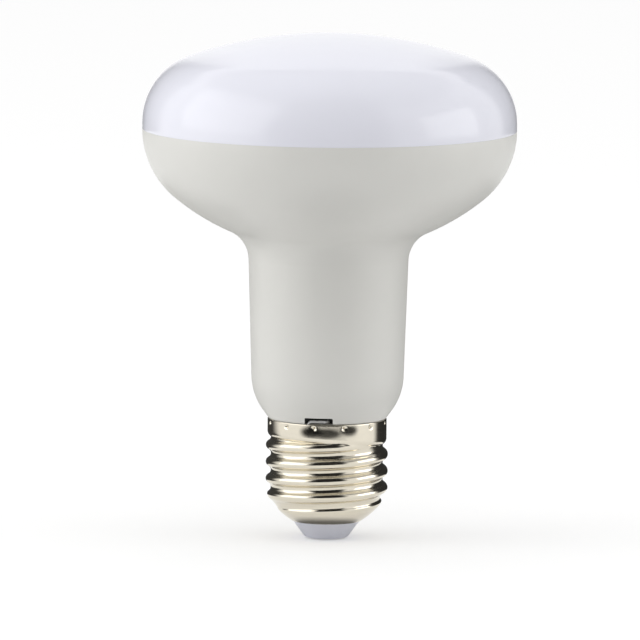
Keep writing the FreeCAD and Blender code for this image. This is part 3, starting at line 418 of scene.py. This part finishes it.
def make_insulator():
    """Moulded cone held by the shell's lip."""
    hole = SHANK_RADIUS + SHANK_GAP
    neck = LIP_RADIUS - LIP_GAP
    lift = SHEET / turned(TIP_ANGLE).x
    slope = math.tan(math.radians(TIP_ANGLE))
    flange = LIP_RADIUS + INSULATOR_FLANGE
    edge = LIP + lift + INSULATOR_FLANGE * slope
    top = edge + INSULATOR_RISE
    corner = (TIP_RADIUS, INSULATOR_LOW + TIP_CORNER)
    corner_end = (TIP_RADIUS + TIP_CORNER * turned(TIP_ANGLE).y,
                  INSULATOR_LOW + TIP_CORNER * (1 - turned(TIP_ANGLE).x))
    outline = [(hole, INSULATOR_LOW), (TIP_RADIUS, INSULATOR_LOW)]
    outline += arc(corner, (TIP_RADIUS, INSULATOR_LOW), corner_end, 10)
    outline += [(LIP_RADIUS - LIP_STEP, LIP - LIP_GAP), (neck, LIP), (neck, LIP + lift - LIP_GAP * slope),
                (flange, edge), (flange, top), (neck - INSULATOR_WALL, top),
                (neck - INSULATOR_WALL, INSULATOR_FLOOR), (hole, INSULATOR_FLOOR)]
    return revolve("insulator_cone", eased(outline), 128)


def make_contact():
    """Nail contact: a flat head under the insulator, and its shank."""
    outline = [(0, 0), (CONTACT_RADIUS, 0, CONTACT_EDGE), (CONTACT_RADIUS, INSULATOR_LOW),
               (SHANK_RADIUS, INSULATOR_LOW), (SHANK_RADIUS, SHANK_TOP), (0, SHANK_TOP)]
    return revolve("nail_contact", eased(outline), 96)


# screw shell


def fade(value, low, high):
    """0 below low, 1 above high, smooth between."""
    share = np.clip((value - low) / (high - low), 0, 1)
    return share * share * (3 - 2 * share)


def knuckle(away):
    """Share of the thread's depth at a distance from the root: two arcs that meet halfway."""
    quarter = PITCH / 4
    bend = (quarter ** 2 + (DEPTH / 2) ** 2) / DEPTH
    near = bend - np.sqrt(bend ** 2 - np.minimum(away, quarter) ** 2)
    far = bend - np.sqrt(bend ** 2 - np.minimum(PITCH / 2 - away, quarter) ** 2)
    return np.where(away < quarter, near, DEPTH - far) / DEPTH


def crest_line(height):
    """Radius of the thread's crests, which draws in to the lip along two arcs."""
    tangent = turned(CONE_TANGENT)
    first = (CREST - CONE_RADIUS) / (1 - tangent.x)
    start = CONE_START + first * tangent.y
    upper = CREST - first + np.sqrt(first ** 2 - np.clip(start - height, 0, first * tangent.y) ** 2)
    depth = CONE_START + CONE_ARC * tangent.y - np.minimum(height, CONE_START)
    lower = CONE_RADIUS - CONE_ARC * tangent.x + np.sqrt(CONE_ARC ** 2 - depth ** 2)
    return np.where(height < CONE_START, lower, upper)


def thread_radius(angle, height):
    """Radius of the rolled thread without the collar."""
    turns = (height - THREAD_START) / PITCH - (angle - THREAD_ANGLE) / 360
    root = np.round(turns)
    along = angle - THREAD_ANGLE
    root_height = THREAD_START + PITCH * (root + along / 360)
    crest_angle = along + 360 * (np.floor(turns) + 0.5)
    share = knuckle(np.abs(turns - root) * PITCH)
    groove = fade(root_height, *GROOVE_FADE)
    sunk = fade(crest_angle, *CREST_FADE)
    return crest_line(height) - DEPTH * ((1 - share) * groove + share * sunk)


def collar_radius(angle, height):
    """Radius of the collar, which rounds in at its lower end."""
    front = fade(angle, *COLLAR_FRONT)
    back = 1 - angle / THREAD_ANGLE
    fall = np.where(angle < THREAD_ANGLE, back, front)
    end = COLLAR_END - COLLAR_FALL * fall
    drop = COLLAR_RADIUS - (CREST - DEPTH)
    start = end + math.sqrt(COLLAR_ROUND ** 2 - (COLLAR_ROUND - drop) ** 2)
    under = np.maximum(start - height, 0)
    curve = COLLAR_ROUND - np.sqrt(COLLAR_ROUND ** 2 - np.minimum(under, COLLAR_ROUND) ** 2)
    return COLLAR_RADIUS - curve - COLLAR_TUCK * np.maximum(under - COLLAR_ROUND, 0)


def soft_max(one, other, width):
    """The larger of two surfaces, with a small fillet between them."""
    near = np.maximum(width - np.abs(one - other), 0)
    return np.maximum(one, other) + near ** 2 / (4 * width)


def shell_radius(angle, height):
    """Outer radius of the rolled shell."""
    radius = soft_max(thread_radius(angle, height), collar_radius(angle, height), COLLAR_FILLET)
    step = 360 / DIMPLES
    side = np.radians((angle - DIMPLE_ANGLE + step / 2) % step - step / 2) * COLLAR_RADIUS
    distance = np.sqrt(side ** 2 + (height - DIMPLE_HEIGHT) ** 2)
    return radius - DIMPLE_DEPTH * np.exp(-(distance / DIMPLE_WIDTH) ** 2)


def make_shell():
    """Rolled screw shell: collar with stake dimples, right-handed knuckle thread, cone and lip."""
    top = COLLAR_TOP - SHEET / 2
    heights = np.concatenate([np.linspace(top, THREAD_HIGH, COLLAR_ROWS)[:-1],
                              np.linspace(THREAD_HIGH, THREAD_LOW, THREAD_ROWS)[:-1],
                              np.linspace(THREAD_LOW, LIP, CONE_ROWS)])
    angles = np.arange(COLUMNS) * 360 / COLUMNS
    angle, height = np.meshgrid(angles, heights)
    radius = shell_radius(angle, height)
    turn = np.radians(angle)
    outer = np.stack([radius * np.cos(turn), radius * np.sin(turn), height], axis=-1)
    around = np.roll(outer, -1, axis=1) - np.roll(outer, 1, axis=1)
    along = np.gradient(outer, axis=0)
    normal = np.cross(along, around)
    normal /= np.linalg.norm(normal, axis=-1, keepdims=True)
    normal *= np.sign(np.sum(normal * outer * (1, 1, 0), axis=-1, keepdims=True))
    inner = outer - normal * SHEET
    rings = list(outer) + rounded_edge(outer[-1], inner[-1], outer[-1] - outer[-2])
    rings += list(inner[::-2]) + rounded_edge(inner[0], outer[0], outer[0] - outer[1])
    bm = bmesh.new()
    rows = [[bm.verts.new(point) for point in ring * MM] for ring in rings]
    join_rings(bm, rows, True)
    return new_object("rolled_shell", bm)


def rounded_edge(start, end, outwards):
    """Rings that round a sheet's edge from one side to the other."""
    outwards = outwards / np.linalg.norm(outwards, axis=-1, keepdims=True)
    middle = (start + end) / 2
    half = (start - end) / 2
    reach = np.linalg.norm(half, axis=-1, keepdims=True)
    return [middle + half * turned(angle).x + outwards * reach * turned(angle).y
            for angle in (30, 60, 90, 120, 150)]


# materials

# the colour sockets of a Mix node
MIX_FIRST = 6
MIX_SECOND = 7
MIX_COLOUR = 2
# heights of the window from the top of the packages
LED_WINDOW = (-0.3, -0.1)
# distance from the face on the board within which the legs lie
LEG_REACH = 0.3


class Nodes:
    """A material's node tree with a Principled shader."""

    def __init__(self, name, colour, roughness, metallic=0.0, **inputs):
        """A new material; further values go to the shader's inputs of that name."""
        self.material = bpy.data.materials.new(name)
        self.material.use_nodes = True
        self.tree = self.material.node_tree
        self.shader = self.tree.nodes["Principled BSDF"]
        self.shader.inputs["Base Color"].default_value = (*colour, 1)
        self.shader.inputs["Roughness"].default_value = roughness
        self.shader.inputs["Metallic"].default_value = metallic
        self.colour = colour
        self.roughness = roughness
        for key, value in inputs.items():
            self.shader.inputs[key.replace("_", " ")].default_value = value

    def add(self, kind, **values):
        """A new node with its settings."""
        node = self.tree.nodes.new(kind)
        for key, value in values.items():
            setattr(node, key, value)
        return node

    def link(self, source, target):
        """Joins an output to an input."""
        self.tree.links.new(source, target)

    def place(self, stretch=(1, 1, 1)):
        """The piece's own coordinates in metres, stretched."""
        coordinates = self.add("ShaderNodeTexCoord")
        mapping = self.add("ShaderNodeMapping")
        mapping.inputs["Scale"].default_value = stretch
        self.link(coordinates.outputs["Object"], mapping.inputs["Vector"])
        return mapping.outputs["Vector"]

    def noise(self, scale, detail=3.0, stretch=(1, 1, 1)):
        """Noise from 0 to 1 over the piece."""
        texture = self.add("ShaderNodeTexNoise")
        texture.inputs["Scale"].default_value = scale
        texture.inputs["Detail"].default_value = detail
        self.link(self.place(stretch), texture.inputs["Vector"])
        return texture.outputs["Fac"]

    def ramp(self, source, low, high, first, last):
        """Colours that pass from first to last as the source goes from low to high."""
        ramp = self.add("ShaderNodeValToRGB")
        ramp.color_ramp.elements[0].position = low
        ramp.color_ramp.elements[0].color = (*first, 1)
        ramp.color_ramp.elements[1].position = high
        ramp.color_ramp.elements[1].color = (*last, 1)
        self.link(source, ramp.inputs["Fac"])
        return ramp.outputs["Color"]

    def shade(self, scale, spread, detail=3.0, stretch=(1, 1, 1)):
        """Slight change of the base colour over the surface."""
        darker = [channel * (1 - spread) for channel in self.colour]
        lighter = [min(channel * (1 + spread), 1) for channel in self.colour]
        colours = self.ramp(self.noise(scale, detail, stretch), 0.3, 0.7, darker, lighter)
        self.link(colours, self.shader.inputs["Base Color"])
        return self

    def wear(self, scale, spread, stretch=(1, 1, 1)):
        """Slight change of the roughness over the surface."""
        spread_map = self.add("ShaderNodeMapRange")
        spread_map.inputs["To Min"].default_value = self.roughness * (1 - spread)
        spread_map.inputs["To Max"].default_value = self.roughness * (1 + spread)
        self.link(self.noise(scale, 2.0, stretch), spread_map.inputs["Value"])
        self.link(spread_map.outputs["Result"], self.shader.inputs["Roughness"])
        return self

    def grain(self, scale, strength, height=0.00002, stretch=(1, 1, 1)):
        """Fine relief."""
        bump = self.add("ShaderNodeBump")
        bump.inputs["Strength"].default_value = strength
        bump.inputs["Distance"].default_value = height
        self.link(self.noise(scale, 2.0, stretch), bump.inputs["Height"])
        self.link(bump.outputs["Normal"], self.shader.inputs["Normal"])
        return self

    def mask(self, low, high, axis="Z"):
        """1 where a coordinate, in millimetres, is between low and high."""
        coordinates = self.add("ShaderNodeTexCoord")
        parts = self.add("ShaderNodeSeparateXYZ")
        self.link(coordinates.outputs["Object"], parts.inputs["Vector"])
        middle = self.add("ShaderNodeMath", operation="COMPARE")
        middle.inputs[1].default_value = (low + high) / 2 * MM
        middle.inputs[2].default_value = (high - low) / 2 * MM
        self.link(parts.outputs[axis], middle.inputs[0])
        return middle.outputs["Value"]

    def darken(self, masks, colour):
        """Another colour where every mask is 1."""
        inside = masks[0]
        for mask in masks[1:]:
            both = self.add("ShaderNodeMath", operation="MULTIPLY")
            self.link(inside, both.inputs[0])
            self.link(mask, both.inputs[1])
            inside = both.outputs["Value"]
        base = self.shader.inputs["Base Color"]
        mix = self.add("ShaderNodeMix", data_type="RGBA")
        self.link(inside, mix.inputs["Factor"])
        self.link(base.links[0].from_socket, mix.inputs[MIX_FIRST])
        mix.inputs[MIX_SECOND].default_value = (*colour, 1)
        self.link(mix.outputs[MIX_COLOUR], base)
        return self

    def second(self, mask, colour, metallic=False):
        """Another colour, and bare metal if asked, where the mask is 1."""
        self.link(self.ramp(mask, 0.45, 0.55, self.colour, colour), self.shader.inputs["Base Color"])
        if metallic:
            self.link(mask, self.shader.inputs["Metallic"])
        return self


def housing_plastic():
    """Satin warm white, with painted shade, near black, in the depth of the notch."""
    nodes = Nodes("housing_plastic", (0.745, 0.74, 0.705), 0.42, IOR=1.46)
    nodes.shade(90, 0.012).wear(400, 0.12).grain(4500, 0.06)
    # painted shade: the back of the notch is coloured near black where it lies in shadow
    depth = [nodes.mask(NOTCH_LEFT - NOTCH_MARGIN, NOTCH_RIGHT + NOTCH_MARGIN, "X"),
             nodes.mask(*NOTCH_PAINTED_SHADE_DEPTHS, "Y"),
             nodes.mask(RIM - NOTCH_MARGIN, NOTCH_TOP + NOTCH_MARGIN, "Z")]
    return nodes.darken(depth, NOTCH_PAINTED_SHADE_COLOUR).material


def opal_cover():
    """Milky glossy diffuser, slightly blue."""
    nodes = Nodes("opal_cover", (0.86, 0.865, 0.945), 0.13, IOR=1.5)
    return nodes.shade(30, 0.01).grain(900, 0.015).material


def nickel():
    """Bright plated sheet with faint lines along the rolling."""
    nodes = Nodes("nickel_shell", (0.74, 0.69, 0.58), 0.14, metallic=1.0)
    rolled = (0.12, 0.12, 1)
    return nodes.shade(1500, 0.03, stretch=rolled).wear(1200, 0.3, rolled).grain(5000, 0.05).material


def insulator_plastic():
    """Pale moulded plastic."""
    nodes = Nodes("insulator_plastic", (0.79, 0.80, 0.88), 0.38)
    return nodes.shade(200, 0.02).grain(4000, 0.08).material


def tinned(name, colour, roughness):
    """Worn bare metal."""
    return Nodes(name, colour, roughness, metallic=1.0).shade(900, 0.08).wear(1500, 0.3).material


def lead(name, colour):
    """Insulated lead."""
    return Nodes(name, colour, 0.5).shade(500, 0.1).grain(3000, 0.1).material


def led_packages():
    """White packages with a yellow window where the top is recessed."""
    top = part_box("leds")[1][2] / MM
    nodes = Nodes("led_package", (0.9, 0.9, 0.88), 0.35)
    window = nodes.mask(top + LED_WINDOW[0], top + LED_WINDOW[1])
    return nodes.second(window, (0.85, 0.62, 0.06)).material


def legged_chip(node):
    """Black epoxy with tinned legs along the board."""
    low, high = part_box(node)
    face = min(low[1], high[1], key=abs) / MM
    nodes = Nodes(node + "_epoxy", (0.025, 0.025, 0.027), 0.45)
    legs = nodes.mask(face - LEG_REACH, face + LEG_REACH, "Y")
    return nodes.second(legs, (0.7, 0.7, 0.7), True).material


def plain(name, colour, roughness, metallic=0.0, scale=300, spread=0.06):
    """One colour with slight change, wear and grain."""
    nodes = Nodes(name, colour, roughness, metallic)
    return nodes.shade(scale, spread).wear(scale * 2, 0.2).grain(scale * 8, 0.08).material


def dress_inside():
    """Materials of the pieces that the housing hides."""
    lead_black = lead("lead_black", (0.02, 0.02, 0.02))
    sleeve = plain("capacitor_sleeve", (0.03, 0.035, 0.08), 0.35)
    ferrite = plain("ferrite", (0.035, 0.035, 0.04), 0.7, scale=900, spread=0.15)
    looks = {
        "heat_sink": plain("tray_aluminium", (0.72, 0.73, 0.74), 0.32, 1.0, scale=700),
        "led_board": plain("board_white", (0.86, 0.87, 0.86), 0.4),
        "leds": led_packages(),
        "board_screws": tinned("screw_steel", (0.6, 0.6, 0.62), 0.3),
        "driver_board": plain("driver_laminate", (0.05, 0.2, 0.08), 0.4, spread=0.12),
        "transformer_core": ferrite,
        "transformer_bobbin": plain("bobbin_plastic", (0.02, 0.02, 0.02), 0.5),
        "transformer_winding": plain("winding_tape", (0.75, 0.55, 0.06), 0.35),
        "bridge_rectifier": legged_chip("bridge_rectifier"),
        "driver_chip": legged_chip("driver_chip"),
        "output_diode": legged_chip("output_diode"),
        "input_capacitor": sleeve,
        "output_capacitor": sleeve,
        "film_capacitor": plain("film_box", (0.45, 0.08, 0.03), 0.3),
        "filter_choke": ferrite,
        "fuse_resistor": plain("resistor_body", (0.14, 0.3, 0.22), 0.4, scale=600),
        "varistor": plain("varistor_lacquer", (0.02, 0.09, 0.4), 0.28),
        "neutral_wire": tinned("tinned_copper", (0.85, 0.85, 0.86), 0.5),
        "live_wire": lead_black,
        "led_positive_wire": lead("lead_red", (0.42, 0.01, 0.01)),
        "led_negative_wire": lead_black,
    }
    for node, look in looks.items():
        wear_look(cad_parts[node], look)


def wear_look(piece, look):
    """The piece's only material."""
    if not piece.material_slots:
        piece.data.materials.append(look)
    for slot in piece.material_slots:
        slot.material = look


def dress(piece, node, look):
    """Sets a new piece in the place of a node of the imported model."""
    wear_look(piece, look)
    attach(piece, "root")
    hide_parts(node)


# studio

# Distances and sizes here are in metres, apart from the heights of the upright cards, in millimetres.
AIM = Vector((-1.71, 0, 46.98)) * MM
CAMERA_DISTANCE = 2.0
CAMERA_ELEVATION = 6.8
CAMERA_ROLL = 0.5
CAMERA_REACH = 20
FOCAL_PIXELS = 9350
FRAME_PIXELS = 640
SENSOR = 36.0
FLOOR_SIZE = 6.0
FLOOR_GREY = 0.75
FLOOR_GLOW = 0.05
FLOOR_LIFT = 0.25
# each is two pairs of (upward share of the direction, grey)
WORLD_SHOWN = ((0.66, 1.0), (0.70, 0.5))
WORLD_LIT = ((0.12, 0.1), (0.75, 1.1))
# share of a card's reach at which it starts to fade out
CARD_CORE = 0.65
SOFT_CORE = 0.5
OVAL_CORE = 0.45
# reach along which a card doesn't fade
FAR = 1.0


def heading(azimuth, elevation):
    """Direction from the lamp; azimuth 0 is towards the camera and positive to its right."""
    level = math.cos(math.radians(elevation))
    return Vector((math.sin(math.radians(azimuth)) * level,
                   -math.cos(math.radians(azimuth)) * level, math.sin(math.radians(elevation))))


def add_camera():
    """Camera at the photograph's height, turned by its slight roll."""
    data = bpy.data.cameras.new("camera")
    data.sensor_width = SENSOR
    data.lens = SENSOR * FOCAL_PIXELS / FRAME_PIXELS
    data.clip_end = CAMERA_REACH
    camera = bpy.data.objects.new("camera", data)
    out = heading(0, CAMERA_ELEVATION)
    camera.location = AIM + out * CAMERA_DISTANCE
    look = (-out).to_track_quat("-Z", "Y")
    camera.rotation_euler = (look.to_matrix() @ roll_matrix(CAMERA_ROLL)).to_euler()
    bpy.context.scene.collection.objects.link(camera)
    bpy.context.scene.camera = camera


def roll_matrix(angle):
    """Turn about the camera's own view axis."""
    return Matrix.Rotation(math.radians(angle), 3, "Z")


def softbox(name, azimuth, elevation, distance, width, height, radiance, lights=True):
    """Rectangular lamp that faces the object; it either lights the object or shows in its reflections."""
    data = bpy.data.lights.new(name, "AREA")
    data.shape = "RECTANGLE"
    data.size = width
    data.size_y = height
    data.energy = radiance * math.pi * width * height
    lamp = bpy.data.objects.new(name, data)
    out = heading(azimuth, elevation)
    lamp.location = AIM + out * distance
    lamp.rotation_euler = (-out).to_track_quat("-Z", "Y").to_euler()
    lamp.visible_camera = False
    lamp.visible_diffuse = lights
    lamp.visible_glossy = not lights
    bpy.context.scene.collection.objects.link(lamp)


def upright_card(name, azimuths, heights, distance, grey, core=CARD_CORE, oval=False):
    """Card that stands in a curve about the lamp's axis and fades out at both ends, or all round."""
    bm = bmesh.new()
    steps = 24
    spots = [azimuths[0] + (azimuths[1] - azimuths[0]) * column / steps for column in range(steps + 1)]
    rows = [[bm.verts.new(heading(spot, 0) * distance + Vector((0, 0, height * MM))) for spot in spots]
            for height in heights]
    for index in range(steps):
        bm.faces.new([rows[0][index], rows[0][index + 1], rows[1][index + 1], rows[1][index]])
    middle = heading((azimuths[0] + azimuths[1]) / 2, 0) * distance
    reach = distance * math.radians(azimuths[1] - azimuths[0]) / 2
    rise = FAR
    if oval:
        middle.z = (heights[0] + heights[1]) / 2 * MM
        rise = (heights[1] - heights[0]) / 2 * MM
    reflected_only(new_object(name, bm), middle, (reach, reach, rise), grey, core)


def level_card(name, middle, half_width, half_length, grey):
    """Oval card that lies level and fades out towards its edge."""
    bm = bmesh.new()
    steps = 32
    spots = [turned(360 * index / steps) for index in range(steps)]
    bm.faces.new([bm.verts.new(middle + Vector((spot.x * half_width, spot.y * half_length, 0)))
                  for spot in spots])
    reflected_only(new_object(name, bm), middle, (half_width, half_length, FAR), grey)


def reflected_only(card, middle, reach, grey, core=CARD_CORE):
    """Leaves a card to the reflections alone; it is grey in the middle and clears towards its edge."""
    material = bpy.data.materials.new(card.name)
    material.use_nodes = True
    tree = material.node_tree
    tree.nodes.clear()
    coordinates = tree.nodes.new("ShaderNodeTexCoord")
    offset = tree.nodes.new("ShaderNodeVectorMath")
    offset.operation = "SUBTRACT"
    offset.inputs[1].default_value = middle
    tree.links.new(coordinates.outputs["Object"], offset.inputs[0])
    share = tree.nodes.new("ShaderNodeVectorMath")
    share.operation = "DIVIDE"
    share.inputs[1].default_value = reach
    tree.links.new(offset.outputs["Vector"], share.inputs[0])
    away = tree.nodes.new("ShaderNodeVectorMath")
    away.operation = "LENGTH"
    tree.links.new(share.outputs["Vector"], away.inputs[0])
    level = tree.nodes.new("ShaderNodeMapRange")
    level.interpolation_type = "SMOOTHSTEP"
    level.inputs["From Min"].default_value = core
    level.inputs["From Max"].default_value = 1.0
    tree.links.new(away.outputs["Value"], level.inputs["Value"])
    light = tree.nodes.new("ShaderNodeEmission")
    light.inputs["Strength"].default_value = grey
    clear = tree.nodes.new("ShaderNodeBsdfTransparent")
    choice = tree.nodes.new("ShaderNodeMixShader")
    tree.links.new(level.outputs["Result"], choice.inputs["Fac"])
    tree.links.new(light.outputs["Emission"], choice.inputs[1])
    tree.links.new(clear.outputs["BSDF"], choice.inputs[2])
    output = tree.nodes.new("ShaderNodeOutputMaterial")
    tree.links.new(choice.outputs["Shader"], output.inputs["Surface"])
    wear_look(card, material)
    card.visible_camera = False
    card.visible_diffuse = False
    card.visible_shadow = False
    card.visible_transmission = False


def seen_rays(tree):
    """1 for camera, glossy and transmission rays."""
    path = tree.nodes.new("ShaderNodeLightPath")
    total = path.outputs["Is Camera Ray"]
    for ray in ("Is Glossy Ray", "Is Transmission Ray"):
        either = tree.nodes.new("ShaderNodeMath")
        either.operation = "MAXIMUM"
        tree.links.new(total, either.inputs[0])
        tree.links.new(path.outputs[ray], either.inputs[1])
        total = either.outputs["Value"]
    return total


def grey_ramp(tree, source, first, last):
    """Greys that pass from first to last, each a (position, grey)."""
    ramp = tree.nodes.new("ShaderNodeValToRGB")
    for element, (position, grey) in zip(ramp.color_ramp.elements, (first, last)):
        element.position = position
        element.color = (grey, grey, grey, 1)
    tree.links.new(source, ramp.inputs["Fac"])
    return ramp.outputs["Color"]


def add_world():
    """White to the eye and in reflections, darker overhead, and a soft grey for everything else."""
    world = bpy.data.worlds.new("studio")
    bpy.context.scene.world = world
    world.use_nodes = True
    tree = world.node_tree
    back = tree.nodes["Background"]
    coordinates = tree.nodes.new("ShaderNodeTexCoord")
    parts = tree.nodes.new("ShaderNodeSeparateXYZ")
    tree.links.new(coordinates.outputs["Generated"], parts.inputs["Vector"])
    shown = grey_ramp(tree, parts.outputs["Z"], *WORLD_SHOWN)
    lit = grey_ramp(tree, parts.outputs["Z"], *WORLD_LIT)
    mix = tree.nodes.new("ShaderNodeMix")
    mix.data_type = "RGBA"
    tree.links.new(seen_rays(tree), mix.inputs["Factor"])
    tree.links.new(lit, mix.inputs[MIX_FIRST])
    tree.links.new(shown, mix.inputs[MIX_SECOND])
    tree.links.new(mix.outputs[MIX_COLOUR], back.inputs["Color"])


def add_floor():
    """White floor under the lamp that keeps its soft shadow."""
    bm = bmesh.new()
    half = FLOOR_SIZE / 2
    corners = [(-half, -half, 0), (half, -half, 0), (half, half, 0), (-half, half, 0)]
    bm.faces.new([bm.verts.new(corner) for corner in corners])
    floor = new_object("floor", bm)
    material = bpy.data.materials.new("floor_white")
    material.use_nodes = True
    tree = material.node_tree
    tree.nodes.clear()
    matt = tree.nodes.new("ShaderNodeBsdfDiffuse")
    matt.inputs["Color"].default_value = (FLOOR_GREY, FLOOR_GREY, FLOOR_GREY, 1)
    lift = tree.nodes.new("ShaderNodeMath")
    lift.operation = "MULTIPLY_ADD"
    lift.inputs[1].default_value = FLOOR_LIFT
    lift.inputs[2].default_value = FLOOR_GLOW
    tree.links.new(seen_rays(tree), lift.inputs[0])
    glow = tree.nodes.new("ShaderNodeEmission")
    tree.links.new(lift.outputs["Value"], glow.inputs["Strength"])
    both = tree.nodes.new("ShaderNodeAddShader")
    tree.links.new(matt.outputs["BSDF"], both.inputs[0])
    tree.links.new(glow.outputs["Emission"], both.inputs[1])
    clear = tree.nodes.new("ShaderNodeBsdfTransparent")
    geometry = tree.nodes.new("ShaderNodeNewGeometry")
    choice = tree.nodes.new("ShaderNodeMixShader")
    tree.links.new(geometry.outputs["Backfacing"], choice.inputs["Fac"])
    tree.links.new(both.outputs["Shader"], choice.inputs[1])
    tree.links.new(clear.outputs["BSDF"], choice.inputs[2])
    output = tree.nodes.new("ShaderNodeOutputMaterial")
    tree.links.new(choice.outputs["Shader"], output.inputs["Surface"])
    wear_look(floor, material)


def add_studio():
    """Camera, world, floor, the lamps, and the dark cards that the bright cap and the cover reflect."""
    add_camera()
    add_world()
    add_floor()
    softbox("left_softbox", -80, 0, 1.2, 1.0, 1.2, 2.8)
    softbox("right_softbox", 80, 0, 1.2, 1.0, 1.2, 1.5)
    softbox("left_shine", -72, 28, 1.1, 1.35, 1.05, 0.9, lights=False)
    softbox("right_shine", 82, 12, 1.2, 0.9, 0.7, 1.5, lights=False)
    level_card("overhead_card", Vector((0, -0.038, 0.045)), 0.022, 0.024, 0.01)
    # painted shadow: a dark card under the lamp stands for the floor's shade where the cone and insulator
    # reflect it
    level_card("painted_floor_shadow_card", Vector((0, 0, 0.0004)), 0.0095, 0.0095, 0.15)
    upright_card("room_card", (-42, 42), (0.5, 520), 0.21, 0.01)
    upright_card("back_card_left", (-174, -122), (1, 600), 0.7, 0.1)
    upright_card("back_card_right", (126, 174), (1, 600), 0.7, 0.1)
    upright_card("front_card_left", (-41, -1), (21.6, 25.0), 0.02, 0.01, core=OVAL_CORE, oval=True)
    upright_card("front_card_middle", (-26, 26), (21.5, 24.3), 0.0203, 0.06, core=OVAL_CORE, oval=True)
    upright_card("front_card_right", (14, 46), (22.1, 25.3), 0.02, 0.03, core=OVAL_CORE, oval=True)
    upright_card("left_card", (-205, -92), (0.5, 16.5), 0.06, 0.05)
    upright_card("left_card_high", (-205, -96), (16.5, 62), 0.06, 0.05, core=SOFT_CORE)
    upright_card("right_card", (92, 178), (0.5, 62), 0.06, 0.03)
    bpy.context.scene.view_settings.view_transform = "Standard"


def build():
    """Every new piece in its node's place, then the materials inside and the studio."""
    dress(make_housing(), "housing", housing_plastic())
    dress(make_cover(), "cover", opal_cover())
    dress(make_shell(), "screw_shell", nickel())
    dress(make_insulator(), "cap_insulator", insulator_plastic())
    dress(make_contact(), "centre_contact", tinned("contact_metal", (0.7, 0.7, 0.68), 0.3))
    dress_inside()
    add_studio()


build()
